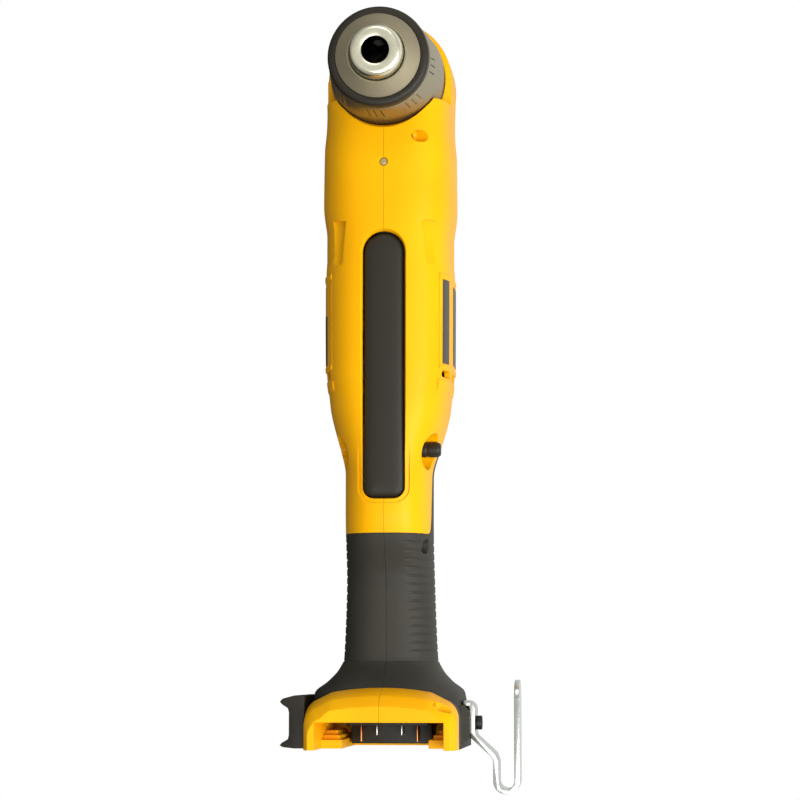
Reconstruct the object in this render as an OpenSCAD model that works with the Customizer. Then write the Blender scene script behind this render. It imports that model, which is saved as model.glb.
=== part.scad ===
// Compact cordless right angle drill, shown without its battery pack, in millimetres.
// The tool lies on its back: Z is the chuck direction and Y runs from the foot to the head.
// The origin is where the spindle axis meets the bench; the motor axis lies axis_h above it.
// Distances along the body are given from the spindle axis towards the foot, so y = -distance.

/* [Head] */
// Height of the motor axis above the back of the tool
axis_h = 31; // [31:0.5:34]
// Radius of the round head
head_r = 25.5; // [25.5:0.1:27]
// Front face of the head above the motor axis
head_front = 10; // [9.8:0.1:11]
// Distance of the body shoulder from the spindle axis
shoulder_d = 11.5; // [9:0.5:14]
// Gap between the chuck sleeve and the recess in the body
recess_gap = 0.9; // [0.6:0.1:1.4]

/* [Body] */
// Half width of the body over the gearbox
gearcase_half_w = 26.9; // [26.6:0.1:29]
// Half width of the waist behind the gearbox
waist_half_w = 25.5; // [24.5:0.1:27]
// Half width of the body over the motor
motor_half_w = 25.8; // [25.4:0.1:27.5]
// Half width of the neck below the motor
neck_half_w = 17.4; // [17.2:0.1:19.5]
// Front of the body above the motor axis
body_front = 33; // [32.5:0.1:35]
// Back of the body below the motor axis
body_back = 28; // [28:0.1:29.5]
// Wall thickness of the housing
wall = 2.4; // [2:0.1:2.6]

/* [Zones along the body] */
// Length of the gearbox bulge from the spindle axis
gearcase_len = 54; // [52:0.5:57]
// Length of the step from the gearbox bulge down to the waist
step_len = 12; // [10:0.5:14]
// Length of the waist
waist_len = 10; // [8:0.5:11]
// Length of the motor bulge
motor_len = 61; // [59:0.5:63]
// Distance of the cooling slots from the end of the motor bulge
vent_back = 14; // [12:0.5:16]
// Length of the taper into the neck
neck_len = 26; // [24:0.5:28]
// Length of the neck that stays free of rubber on its front
neck_free = 24; // [22:0.5:26]
// Length of the handle below the front edge of the rubber
handle_len = 49; // [46:0.5:52]
// Length of the flare into the foot
flare_len = 12; // [11:0.5:14]

/* [Handle] */
// Half width of the handle
grip_half_w = 18.8; // [18.4:0.1:20]
// Front of the handle above the motor axis
grip_front = 21.5; // [21:0.1:24]
// Back of the handle below the motor axis
grip_back = 18.5; // [18:0.1:21]
// Thickness of the rubber layer
rubber_t = 1.6; // [1.2:0.1:1.8]
// Reach of the rubber up the back of the neck above its front edge
rubber_rise = 40; // [35:0.5:43]

/* [Foot] */
// Half width of the foot
foot_half_w = 30.2; // [29.8:0.1:32]
// Height of the foot from its crown to its underside
foot_h = 24; // [23:0.5:26]
// Front of the foot above the motor axis
foot_front = 50; // [48:0.5:53]
// Depth of the yellow frame around the battery opening
bezel_depth = 12; // [10:0.5:14]
// Half width of the battery opening
slot_half_w = 25.2; // [24.5:0.1:25.6]
// Height of the battery opening above the underside of the foot
slot_h = 10.7; // [10:0.1:11.4]
// Half distance between the battery rails
rail_half_gap = 17.3; // [17:0.1:19]
// Thickness of the battery rails
rail_t = 4.6; // [4:0.1:5]
// Front end of the battery rails above the motor axis
rail_front = 26; // [22:0.5:30]

/* [Chuck] */
// Nose of the chuck above the motor axis
nose_z = 64; // [63:0.5:66]
// Radius of the chuck bore
bore_r = 5.4; // [5.3:0.05:5.5]
// Radius of the nose
nose_r = 10.8; // [10.5:0.1:11.5]
// Sleeve radius at its rear end
sleeve_rear_r = 23.3; // [22.8:0.1:24]
// Sleeve radius at its front end
sleeve_front_r = 20.4; // [20:0.1:21]
// Radius of the chuck body under the sleeve
chuck_body_r = 16.6; // [16.4:0.1:17]
// Lean of the jaws towards the chuck axis
jaw_angle = 15; // [14.5:0.5:16]
// Radius of a jaw
jaw_r = 2.8; // [2.6:0.05:2.9]
// Length of a jaw
jaw_len = 24; // [22:0.5:25]

/* [Spindle and bearings] */
// Spindle radius in the front bearing
spindle_r = 6; // [5.8:0.1:6.4]
// Outer radius of the front bearing
front_bearing_r = 12; // [11.6:0.1:12.4]
// Width of the front bearing
front_bearing_w = 6; // [5.5:0.1:6]
// Radius of the pinion shaft
pinion_shaft_r = 4; // [3.8:0.1:4.3]
// Outer radius of the pinion bearing
pinion_bearing_r = 9.5; // [9.2:0.1:9.6]
// Running clearance on radius of shafts and pins
run_gap = 0.05; // [0.03:0.01:0.08]
// Clearance between fixed pieces
seat_gap = 0.1; // [0.05:0.05:0.2]

/* [Gears] */
// Module of the bevel pair at its outer end
bevel_module = 1.13; // [1.1:0.01:1.16]
// Teeth of the bevel pinion
pinion_teeth = 12; // [12:2:14]
// Face width of the bevel pair
bevel_face = 6; // [5:0.1:6.4]
// Module of the planet gears
planet_module = 0.75; // [0.74:0.005:0.76]
// Play taken off each gear flank
flank_gap = 0.06; // [0.05:0.01:0.1]
// Travel of the sliding ring gear
shift_travel = 5; // [4:0.5:5]

/* [Motor] */
// Radius of the motor can
can_r = 18.6; // [18:0.1:19]
// Radius of the motor shaft
motor_shaft_r = 2.5; // [2.3:0.1:2.6]
// Radius of the armature
armature_r = 13.4; // [12.8:0.1:13.6]
// Number of armature poles
pole_count = 10; // [8:2:12]
// Radius of the cooling fan
fan_r = 17; // [16:0.5:18]

/* [Paddle and switch] */
// Width of the paddle
paddle_w = 16.2; // [15.6:0.1:16.6]
// Distance of the paddle's lower end from the rubber
paddle_end_gap = 14; // [13:0.1:16]
// Gap around the paddle
paddle_gap = 0.5; // [0.4:0.05:0.7]
// Distance of the direction button from the start of the neck taper
button_down = 16; // [14.5:0.5:17]
// Radius of the direction button
button_r = 3.05; // [2.9:0.05:3.2]

/* [Belt hook and bit clip] */
// Thickness of the hook strip
hook_t = 2; // [1.8:0.1:2.2]
// Width of the hook strip
hook_w = 18; // [16:0.5:20]
// Reach of the hook from the middle of the tool
hook_reach = 51.6; // [50:0.2:55]
// Depth of the hook below the underside of the foot
hook_drop = 18; // [16:0.5:21]
// Length of the bit clip
clip_len = 50; // [44:1:54]
// Reach of the clip lips from the flank of the foot
clip_reach = 9.8; // [9.3:0.1:11.3]

/* [Hidden] */
$fn = 48;
gearcase_end = gearcase_len;
waist_start = gearcase_end + step_len;
waist_end = waist_start + waist_len;
motor_start = waist_end + 4;
neck_start = waist_end + motor_len;
vent_d = neck_start - vent_back;
neck_end = neck_start + neck_len;
rubber_d = neck_end + neck_free;
flare_d = rubber_d + handle_len;
grip_d = flare_d - handle_len * 0.47;
rubber_top_d = rubber_d - rubber_rise;
foot_top_d = flare_d + flare_len;
foot_end_d = foot_top_d + foot_h;
slot_top_d = foot_end_d - slot_h;
paddle_top_d = waist_start + 0.8;
paddle_end_d = rubber_d - paddle_end_gap;
button_d = neck_start + button_down;
hook_end_d = foot_end_d + hook_drop;
bevel_teeth = pinion_teeth * 5 / 2;
sun_1 = 12;
planet_1 = 18;
sun_2 = 24;
planet_2 = 12;
ring_teeth = 48;
pressure = 25;
orbit_1 = planet_module * (sun_1 + planet_1) / 2;
orbit_2 = planet_module * (sun_2 + planet_2) / 2;
ring_r = planet_module * ring_teeth / 2 + 2.6;
box_r = ring_r + 2;
pinion_pr = bevel_module * pinion_teeth / 2;
bevel_pr = bevel_module * bevel_teeth / 2;
pinion_cone = atan(pinion_teeth / bevel_teeth);
pinion_collar_r = (pinion_pr - 1.2 * bevel_module * cos(pinion_cone)) * 0.92 - 0.2;
back_z = 0;
drum_r = head_r - wall - 0.4;
drum_back = wall;
drum_front = axis_h + head_front - 0.6;
nose_case_r = front_bearing_r + 2.2;
front_bearing_z = axis_h + head_front - 0.5;
nose_case_z = front_bearing_z + front_bearing_w + 1;
sleeve_z = nose_case_z + 0.4;
hub_z = nose_case_z + 2;
nut_z = axis_h + 30.2;
nut_h = 6.6;
sleeve_top = axis_h + 48.5;
ring_top = axis_h + 54;
cap_top = axis_h + 58.2;
jaw_front = nose_z - 16.7;
guide_len = 10;
jaw_tan = tan(jaw_angle);
channel_r = jaw_r + 0.1;
jaw_out = bore_r + 2.6;
skirt_r = nose_case_r + 3.6;
neck_bearing_d = bevel_pr + 3.2;
neck_bearing_w = 7;
neck_r = pinion_bearing_r + 2;
recess_z = axis_h + head_front + 2.8;
flange_d = neck_bearing_d + neck_bearing_w + 1;
box_d = flange_d + 2.6;
carrier_2_d = box_d + 3.4;
stage_2_d = carrier_2_d + 4;
gear_w = 7;
shift_d = stage_2_d - 1.6;
shift_w = 8;
carrier_1_d = stage_2_d + gear_w + 0.7;
stage_1_d = carrier_1_d + 3.5;
ring_1_d = shift_d + shift_w + 5.4;
plate_d = stage_1_d + gear_w + 3.1;
can_d = plate_d + 2.2;
can_len = 41;
bell_d = can_d + can_len;
bell_len = 11;
fan_d = bell_d + bell_len + 2;
switch_d = neck_start + 1;
switch_len = 40;
switch_top = axis_h + 10;
pivot_d = paddle_top_d + 4.3;
pivot_z = axis_h + body_front - 5.5;
pivot_r = 1.5;
paddle_z = axis_h + body_front - 8.4;
paddle_t = 7.6;
plunger_d = switch_d + 29;
button_z = axis_h + 15;
scoop_z = button_z + 5;
flute_x = waist_half_w - 5.8;
flute_z = axis_h + body_front - 3;
led_d = gearcase_end - 15.7;
selector_d = shift_d + shift_w / 2 + 4.45;
foot_back = axis_h;
bezel_z = axis_h + foot_front - bezel_depth;
hook_z = axis_h + 10;
hook_screw_d = foot_end_d - 10;
seat_t = 2.8;
clip_x = foot_half_w + clip_reach;
slot_back = axis_h - 20;
block_front = axis_h;
screw_spots = [[27.8, body_front - 3.7], [25.2, 6.5 - body_back], [neck_start - 6, 9 - body_back],
    [rubber_d + 5, body_front - 14], [flare_d - 10, 12.5 - grip_back], [foot_top_d + 7.6, foot_front - 7],
    [foot_top_d + 7.6, 9 - axis_h]];
plan_line = [
    [0, head_r], [14, head_r], [22, head_r + 0.3], [31, gearcase_half_w - 0.3], [gearcase_end, gearcase_half_w],
    [gearcase_end + 4, gearcase_half_w - 0.4], [waist_start, waist_half_w],
    [waist_end, waist_half_w], [motor_start, motor_half_w], [vent_d - 2, motor_half_w - 0.2],
    [vent_d + 5, motor_half_w - 1], [neck_start, motor_half_w - 2],
    [neck_start + 5, motor_half_w - 3.1], [neck_start + 9, neck_half_w + 4.2],
    [neck_end - 10, neck_half_w + 2.2], [neck_end, neck_half_w], [rubber_d, neck_half_w],
    [flare_d, grip_half_w], [flare_d + 5, grip_half_w + 1.9], [flare_d + 9.5, grip_half_w + 5.5],
    [foot_top_d + 2, foot_half_w - 0.9], [foot_top_d + 9, foot_half_w]];
front_line = [
    [0, body_front - 3], [shoulder_d, body_front - 2.4], [28, body_front],
    [led_d, body_front + 0.5], [rubber_d - 8, body_front], [rubber_d + 2, body_front - 2.5],
    [grip_d - 9, grip_front + 1.5], [grip_d, grip_front], [flare_d, grip_front],
    [foot_top_d + 2, foot_front - 10]];
back_line = [
    [0, axis_h], [20, axis_h - 0.6], [60, body_back], [neck_start, body_back],
    [neck_end + 3, grip_back + 0.6], [grip_d, grip_back - 0.4], [flare_d, grip_back],
    [foot_top_d + 2, axis_h - 0.4]];
square_line = [[0, 8], [20, 4], [45, 3], [130, 2.9], [165, 2.7], [flare_d, 2.6], [foot_top_d + 2, 3.6]];

// Smooth line through named points, without overshoot between them.
function span(keys, d, i = 0) = (i >= len(keys) - 2 || d < keys[i + 1][0]) ? i : span(keys, d, i + 1);
function rise(keys, i) = (keys[i + 1][1] - keys[i][1]) / (keys[i + 1][0] - keys[i][0]);
function slope(keys, i) =
    (i == 0 || i == len(keys) - 1) ? 0 :
    let (a = rise(keys, i - 1), b = rise(keys, i)) a * b <= 0 ? 0 : 2 * a * b / (a + b);
function line_at(keys, d) =
    let (i = span(keys, d), h = keys[i + 1][0] - keys[i][0])
    let (t = max(0, min(1, (d - keys[i][0]) / h)), u = 1 - t)
    keys[i][1] * (1 + 2 * t) * u * u + keys[i + 1][1] * t * t * (3 - 2 * t)
    + h * t * u * (slope(keys, i) * u - slope(keys, i + 1) * t);
function stations(keys, step) = concat(
    [for (i = [0 : len(keys) - 2])
        let (h = keys[i + 1][0] - keys[i][0], n = max(1, ceil(h / step)))
        each [for (j = [0 : n - 1]) keys[i][0] + h * j / n]],
    [keys[len(keys) - 1][0]]);
function between(list, lo, hi) = [for (d = list) if (d >= lo && d <= hi) d];
function ramp(d) = max(0, min(1, (d - neck_start) / 10));
function section(d, inset, more, count) =
    let (cut = inset + more * ramp(d), w = line_at(plan_line, d) - cut)
    let (f = line_at(front_line, d) - cut, b = line_at(back_line, d) - cut)
    let (e = 2 / line_at(square_line, d))
    let (mid = axis_h + (f - b) / 2, h = (f + b) / 2)
    [for (i = [0 : count - 1]) let (c = cos(360 * i / count), s = sin(360 * i / count))
        [w * sign(c) * pow(abs(c), e), -d, mid + h * sign(s) * pow(abs(s), e)]];

// Body form through its cross sections.
module loft(list, inset, more, count) {
    last = len(list) - 1;
    polyhedron(
        points = [for (d = list) each section(d, inset, more, count)],
        faces = concat(
            [[for (k = [0 : count - 1]) k]],
            [[for (k = [count - 1 : -1 : 0]) last * count + k]],
            [for (i = [0 : last - 1], k = [0 : count - 1])
                let (a = i * count + k, b = i * count + (k + 1) % count)
                each [[a, a + count, b + count], [a, b + count, b]]]),
        convexity = 8);
}

// Places a child on the motor axis with its height pointing towards the foot.
module on_axis(d) {
    translate([0, -d, axis_h]) rotate([90, 0, 0]) children();
}

// Places a child crosswise, with its height pointing to the right.
module across(d, z) {
    translate([0, -d, z]) rotate([0, 90, 0]) children();
}

module tube(outer, inner, h) {
    difference() {
        cylinder(r = outer, h = h);
        translate([0, 0, -1]) cylinder(r = inner, h = h + 2);
    }
}

// Involute flank, as an angle at a given radius from the middle of the tooth.
function involute(r, base) = let (a = acos(min(1, base / r))) tan(a) * 180 / PI - a;
function tooth_angle(r, pitch_r, base, half) =
    half + involute(pitch_r, base) - involute(max(r, base), base);
function gear_points(teeth, m, tip, root, play) =
    let (p = m * teeth / 2, base = p * cos(pressure), hi = p + tip * m, lo = p - root * m)
    let (half = 90 / teeth - play / p * 180 / PI, from = max(lo + 0.1 * m, base + 0.001))
    let (radii = [lo, from, from + (hi - from) * 0.35, from + (hi - from) * 0.7, hi])
    [for (k = [0 : teeth - 1])
        each concat(
            [for (i = [0 : 4]) let (a = 360 * k / teeth - tooth_angle(radii[i], p, base, half))
                radii[i] * [cos(a), sin(a)]],
            [for (i = [4 : -1 : 0]) let (a = 360 * k / teeth + tooth_angle(radii[i], p, base, half))
                radii[i] * [cos(a), sin(a)]])];

module spur(teeth, h) {
    linear_extrude(height = h) polygon(gear_points(teeth, planet_module, 0.95, 1.2, flank_gap));
}

module ring_wheel(h) {
    linear_extrude(height = h) difference() {
        circle(r = ring_r);
        rotate(180 / ring_teeth)
            polygon(gear_points(ring_teeth, planet_module, 1.2, 0.9, -flank_gap));
    }
}

// Straight bevel wheel with its cone tip at the origin and its back up the axis.
module bevel(teeth, cone, m, face, back) {
    p = m * teeth / 2;
    reach = p / sin(cone);
    v = p / cos(cone);
    base = v * cos(pressure);
    hi = v + 0.95 * m;
    lo = v - 1.2 * m;
    half = 90 / (teeth / cos(cone)) - flank_gap / v * 180 / PI;
    from = max(lo + 0.1 * m, base + 0.001);
    radii = [lo, from, (from + hi) / 2, hi];
    flat = [for (k = [0 : teeth - 1]) each concat(
        [for (i = [0 : 3]) [radii[i], 360 * k / teeth
            - tooth_angle(radii[i], v, base, half) / cos(cone)]],
        [for (i = [3 : -1 : 0]) [radii[i], 360 * k / teeth
            + tooth_angle(radii[i], v, base, half) / cos(cone)]])];
    n = len(flat);
    inner = (reach - face) / reach;
    apex = reach / cos(cone);
    rim = [for (q = flat) let (r = q[0] * cos(cone))
        [r * cos(q[1]), r * sin(q[1]), apex - q[0] * sin(cone)]];
    hub_r = lo * cos(cone) * 0.92;
    low_z = (apex - lo * sin(cone)) * inner;
    polyhedron(
        points = concat(
            [for (q = rim) q * inner], rim,
            [for (i = [0 : n - 1]) let (a = 360 * (i - 3.5) / n) [hub_r * cos(a), hub_r * sin(a), back]],
            [[0, 0, low_z], [0, 0, back]]),
        faces = [for (i = [0 : n - 1]) let (j = (i + 1) % n)
            each [[i, n + i, n + j], [i, n + j, j],
                [n + i, 2 * n + i, 2 * n + j], [n + i, 2 * n + j, n + j],
                [3 * n, i, j], [3 * n + 1, 2 * n + j, 2 * n + i]]],
        convexity = 10);
}

module race_outer(od, id, w) {
    rotate_extrude() difference() {
        translate([od - (od - id) * 0.32, 0]) square([(od - id) * 0.32, w]);
        translate([(od + id) / 2, w / 2]) circle(r = (od - id) * 0.26 + run_gap);
    }
}

module race_inner(od, id, w) {
    rotate_extrude() difference() {
        translate([id, 0]) square([(od - id) * 0.32, w]);
        translate([(od + id) / 2, w / 2]) circle(r = (od - id) * 0.26 + run_gap);
    }
}

module ball_set(od, id, w, count) {
    for (k = [0 : count - 1])
        rotate(360 * k / count)
            translate([(od + id) / 2, 0, w / 2]) sphere(r = (od - id) * 0.26, $fn = 20);
}

// Outer form of the foot, drawn in the plane of the bench.
module foot_outline(inset) {
    crown = 110;
    corner = 8 - inset / 2;
    half = foot_half_w - inset;
    intersection() {
        union() {
            translate([-half, -foot_end_d]) square([2 * half, foot_end_d - foot_top_d - 14]);
            hull() {
                for (s = [-1, 1])
                    translate([s * (half - corner), -foot_top_d - 4 - inset - corner]) circle(r = corner);
                translate([-half, -foot_end_d]) square([2 * half, 4]);
                translate([0, -foot_top_d - inset - crown]) intersection() {
                    circle(r = crown, $fn = 180);
                    translate([-half * 0.7, crown - 8]) square([half * 1.4, 20]);
                }
            }
        }
    }
}

module foot_slab(inset, z0, z1) {
    translate([0, 0, z0]) linear_extrude(height = z1 - z0) foot_outline(inset);
}

module foot_cover_form(inset) {
    hull() {
        foot_slab(inset + 3, axis_h - foot_back + inset, axis_h - foot_back + inset + 0.2);
        foot_slab(inset, axis_h - foot_back + inset + 4, bezel_z + 1);
    }
}

module bezel_form() {
    hull() {
        foot_slab(0, bezel_z, bezel_z + 1);
        foot_slab(1.2, axis_h + foot_front - 4.5, axis_h + foot_front - 4);
        foot_slab(4.6, axis_h + foot_front - 0.2, axis_h + foot_front);
        translate([1.2 - foot_half_w, -foot_end_d, axis_h + foot_front - 0.2])
            cube([2 * foot_half_w - 2.4, foot_end_d - foot_top_d - 16, 0.2]);
    }
}

module body_form(inset, step, lo, hi) {
    loft(between(stations(plan_line, step), lo, hi), inset, 0, 28);
}

module cavity_form() {
    loft(between(stations(plan_line, 30), 26, flare_d + 5), wall, rubber_t, 16);
}

// Keeps ribs and bosses inside the outer skin.
module rib_limit() {
    loft(between(stations(plan_line, 30), 14, 300), 0.7, rubber_t, 16);
    bezel_form();
    foot_cover_form(rubber_t + 0.4);
}

// Everything that the rubber layer covers.
module rubber_zone(shrink) {
    top = rubber_top_d;
    edge = rubber_d;
    rise = rubber_rise;
    translate([60, -shrink, axis_h - shrink]) rotate([0, -90, 0]) linear_extrude(height = 120) polygon([
        [-36, -top], [-16, -top], [-6, -top - rise * 0.04], [3, -top - rise * 0.18],
        [9.3, -top - rise * 0.45], [13.2, -edge + rise * 0.1], [15, -edge + 0.6], [17, -edge],
        [bezel_z - axis_h, -edge], [bezel_z - axis_h, -foot_end_d - 1], [-36, -foot_end_d - 1]]);
}

module head_form() {
    hull() {
        translate([0, 0, 4]) cylinder(r = head_r, h = axis_h + head_front - 5.4, $fn = 48);
        cylinder(r = head_r - 4, h = 1, $fn = 48);
        translate([0, 0, 1.2]) cylinder(r = head_r - 1.4, h = 1, $fn = 48);
        translate([0, 0, axis_h + head_front - 1]) cylinder(r = head_r - 1.2, h = 1, $fn = 48);
    }
}

module outer_form() {
    head_form();
    difference() {
        body_form(0, 8, 0, 300);
        translate([-60, -shoulder_d, axis_h + head_front]) cube([120, 60, 60]);
    }
    foot_cover_form(0);
    bezel_form();
}

module core_form() {
    body_form(rubber_t, 12, neck_start - 20, 300);
    foot_cover_form(rubber_t);
}

// Ribs and bosses that hold the inner pieces between the two halves.
module ribs() {
    for (d = [can_d + 9, can_d + 33])
        difference() {
            translate([-40, -d - 1.2, -5]) cube([80, 2.4, 80]);
            on_axis(d - 5) cylinder(r = can_r + seat_gap, h = 10, $fn = 30);
            translate([-10, -d - 5, axis_h]) cube([20, 10, 60]);
        }
    for (d = [switch_d + 3, switch_d + switch_len - 4])
        difference() {
            translate([-40, -d - 1.2, -5]) cube([80, 2.4, switch_top - 1]);
            translate([-9 - seat_gap, -d - 5, switch_top - 16 - seat_gap])
                cube([18 + 2 * seat_gap, 10, 80]);
        }
    for (s = [-1, 1])
        translate([s * 14.6 - 5, -pivot_d - 3.6, pivot_z - 4]) cube([10, 7.2, 9]);
    for (s = [-1, 1])
        hull() {
            across(button_d, scoop_z - 1) translate([0, 0, s * 15 - 4]) cylinder(r = 9.5, h = 8, $fn = 16);
            across(button_d, scoop_z - 1) translate([0, 0, s * 18 - 4]) cylinder(r = 10.6, h = 8, $fn = 16);
        }
    for (q = screw_spots)
        hull() {
            across(q[0], axis_h + q[1]) translate([0, 0, -24]) cylinder(r = 3.2, h = 48, $fn = 10);
            across(q[0], axis_h + q[1]) translate([0, 0, -6]) cylinder(r = 3.4, h = 12, $fn = 10);
        }
}

module battery_opening() {
    difference() {
        translate([-slot_half_w, -foot_end_d - 1, slot_back])
            cube([2 * slot_half_w, foot_end_d + 1 - slot_top_d, 120]);
        for (s = [-1, 1]) {
            translate([s > 0 ? rail_half_gap : -slot_half_w - 1, -foot_end_d - 2, slot_back - 1])
                cube([slot_half_w - rail_half_gap + 1, rail_t + 2, axis_h + rail_front - slot_back + 1]);
            translate([s > 0 ? rail_half_gap + 2.4 : -slot_half_w - 1, -foot_end_d - 2, slot_back - 1])
                cube([slot_half_w - rail_half_gap - 1.4, rail_t + 3.6,
                    axis_h + rail_front - slot_back - 8]);
        }
    }
}

module paddle_outline(grow) {
    half = paddle_w / 2 + grow;
    hull() {
        translate([0, -paddle_top_d - paddle_w / 2]) circle(r = half, $fn = 32);
        for (s = [-1, 1])
            translate([s * (paddle_w / 2 - 4), -paddle_end_d + 4]) circle(r = 4 + grow, $fn = 20);
    }
}

module shell() {
    difference() {
        union() {
            difference() {
                outer_form();
                difference() {
                    rubber_zone(0);
                    core_form();
                }
                cavity_form();
            }
            intersection() {
                rib_limit();
                ribs();
            }
        }
        translate([0, 0, drum_back]) cylinder(r = drum_r + 0.35, h = recess_z - drum_back + 0.1);
        on_axis(10) cylinder(r = neck_r + 0.4, h = 19);
        on_axis(flange_d - 0.3) cylinder(r = box_r + 0.3, h = 5, $fn = 36);
        translate([0, 0, recess_z])
            cylinder(r1 = sleeve_rear_r + recess_gap, r2 = sleeve_front_r + recess_gap,
                h = sleeve_top - recess_z);
        translate([0, 0, paddle_z - 3]) linear_extrude(height = 40) paddle_outline(paddle_gap);
        translate([-paddle_w / 2 - 1, -paddle_end_d - 1, paddle_z - 10])
            cube([paddle_w + 2, paddle_end_d - paddle_top_d + 2, 11]);
        across(pivot_d, pivot_z) translate([0, 0, -16]) cylinder(r = pivot_r + run_gap, h = 32);
        translate([0, -led_d, axis_h + 20]) cylinder(r = 1.7, h = 30, $fn = 20);
        translate([-4.2, -led_d - 4.7, axis_h + body_front - 6]) cube([8.4, 9.4, 3.4]);
        for (s = [-1, 1], z = [-12, 3, 18])
            hull() {
                across(vent_d, axis_h + z - 3.6)
                    translate([0, 0, s * 24 - 8]) cylinder(r = 1.5, h = 16, $fn = 8);
                across(vent_d, axis_h + z + 3.6)
                    translate([0, 0, s * 24 - 8]) cylinder(r = 1.5, h = 16, $fn = 8);
            }
        for (s = [-1, 1]) {
            across(button_d, scoop_z) translate([0, 0, s * 23.2 - 10]) cylinder(r = 7.3, h = 20, $fn = 22);
            hull() {
                translate([s * flute_x, -waist_start + 1.6, flute_z]) sphere(r = 3, $fn = 12);
                translate([s * (flute_x - 0.8), -waist_end + 0.4, flute_z + 0.3]) sphere(r = 3, $fn = 12);
            }
        }
        across(button_d, button_z) translate([0, 0, -30]) cylinder(r = button_r + 0.3, h = 60);
        translate([-5.6, -selector_d - shift_travel - 6.4, -5]) cube([11.2, shift_travel + 12.8, 20]);
        translate([-9, -selector_d - shift_travel - 10, wall + 1.6]) cube([18, shift_travel + 20, 6]);
        for (q = screw_spots) {
            across(q[0], axis_h + q[1]) translate([0, 0, -9]) cylinder(r = 1.65, h = 20, $fn = 12);
            across(q[0], axis_h + q[1]) translate([0, 0, 6]) cylinder(r = 3, h = 40, $fn = 12);
        }
        battery_opening();
        across(hook_screw_d, hook_z) translate([0, 0, 20]) cylinder(r = 2.1, h = 30, $fn = 16);
        across(hook_screw_d, hook_z) translate([0, 0, -50]) cylinder(r = 2.1, h = 30, $fn = 16);
    }
}

module housing_left() {
    color("#f2b60a") intersection() {
        shell();
        translate([-80, -320, -10]) cube([80, 400, 200]);
    }
}

module housing_right() {
    color("#f2b60a") intersection() {
        shell();
        translate([0, -320, -10]) cube([80, 400, 200]);
    }
}

// Rubber layer over the handle and the sides of the foot.
module rubber_form() {
    difference() {
        union() {
            intersection() {
                union() {
                    body_form(0, 8, neck_start, 300);
                    foot_cover_form(0);
                }
                rubber_zone(seat_gap);
            }
            hull() {
                translate([foot_half_w - 3, -foot_end_d + 4, axis_h - 1]) cube([3 + seat_t, 11, 22]);
                translate([foot_half_w - 3, -foot_end_d + 2, axis_h - 4]) cube([2.6, 14, 28]);
            }
        }
        body_form(rubber_t - seat_gap, 12, neck_start - 20, 300);
        foot_cover_form(rubber_t - seat_gap);
        translate([-slot_half_w, -foot_end_d - 1, slot_back])
            cube([2 * slot_half_w, foot_end_d + 1 - slot_top_d, 120]);
        across(hook_screw_d, hook_z) translate([0, 0, 20]) cylinder(r = 2.05, h = 30, $fn = 24);
        across(hook_screw_d, hook_z) translate([0, 0, -50]) cylinder(r = 2.05, h = 30, $fn = 24);
        for (q = screw_spots)
            hull() {
                across(q[0], axis_h + q[1]) translate([0, 0, 6]) cylinder(r = 3, h = 40, $fn = 12);
                across(q[0], axis_h + q[1]) translate([0, 0, 46]) cylinder(r = 3, h = 4, $fn = 12);
            }
    }
}

module grip_left() {
    color("#33312c") intersection() {
        rubber_form();
        translate([-80, -320, -10]) cube([80, 400, 200]);
    }
}

module grip_right() {
    color("#33312c") intersection() {
        rubber_form();
        translate([0, -320, -10]) cube([80, 400, 200]);
    }
}

// Cast case in the head that holds the bevel pair and both bearings.
module gear_case() {
    color("#9a9c9e") difference() {
        union() {
            translate([0, 0, drum_back]) cylinder(r = drum_r, h = drum_front - drum_back);
            translate([0, 0, drum_front - 1]) cylinder(r = nose_case_r, h = nose_case_z - drum_front + 1);
            on_axis(10) cylinder(r = neck_r, h = flange_d - 9);
            on_axis(flange_d) cylinder(r = box_r, h = 2.6);
        }
        translate([0, 0, drum_back + 8]) cylinder(r = bevel_pr + 2.4, h = axis_h + 6.6 - drum_back - 8);
        translate([0, 0, drum_back + 1]) cylinder(r = spindle_r + 1 + seat_gap, h = 40);
        on_axis(6) cylinder(r = pinion_pr + 1.8, h = neck_bearing_d - 5);
        on_axis(neck_bearing_d) cylinder(r = pinion_bearing_r + 0.02, h = 30);
        translate([0, 0, axis_h]) cylinder(r = front_bearing_r - 1.6, h = 60);
        translate([0, 0, front_bearing_z]) cylinder(r = front_bearing_r + 0.02, h = front_bearing_w);
    }
}

module spindle_bearing_outer() {
    color("#b9bcc0") translate([0, 0, front_bearing_z])
        race_outer(front_bearing_r, spindle_r, front_bearing_w);
}

module spindle_bearing_balls() {
    color("#d7dade") translate([0, 0, front_bearing_z])
        ball_set(front_bearing_r, spindle_r, front_bearing_w, 8);
}

module spindle_bearing_inner() {
    color("#b9bcc0") translate([0, 0, front_bearing_z])
        race_inner(front_bearing_r, spindle_r, front_bearing_w);
}

module spindle_bush() {
    color("#a9793f") translate([0, 0, drum_back + 1])
        tube(spindle_r + 1, spindle_r - 1 + run_gap, 7);
}

module spindle() {
    color("#8d9094") difference() {
        union() {
            translate([0, 0, drum_back + 1.4]) cylinder(r = spindle_r - 1, h = 8);
            translate([0, 0, drum_back + 8.4]) cylinder(r = spindle_r, h = hub_z - drum_back - 8.4);
            translate([0, 0, nose_case_z - 1]) cylinder(r = spindle_r + 1.4, h = hub_z - nose_case_z + 1);
            translate([0, 0, hub_z]) cylinder(r = bore_r - 0.65, h = 9);
        }
        translate([0, 0, hub_z - 2]) cylinder(r = 2.45, h = 20);
    }
}

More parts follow.
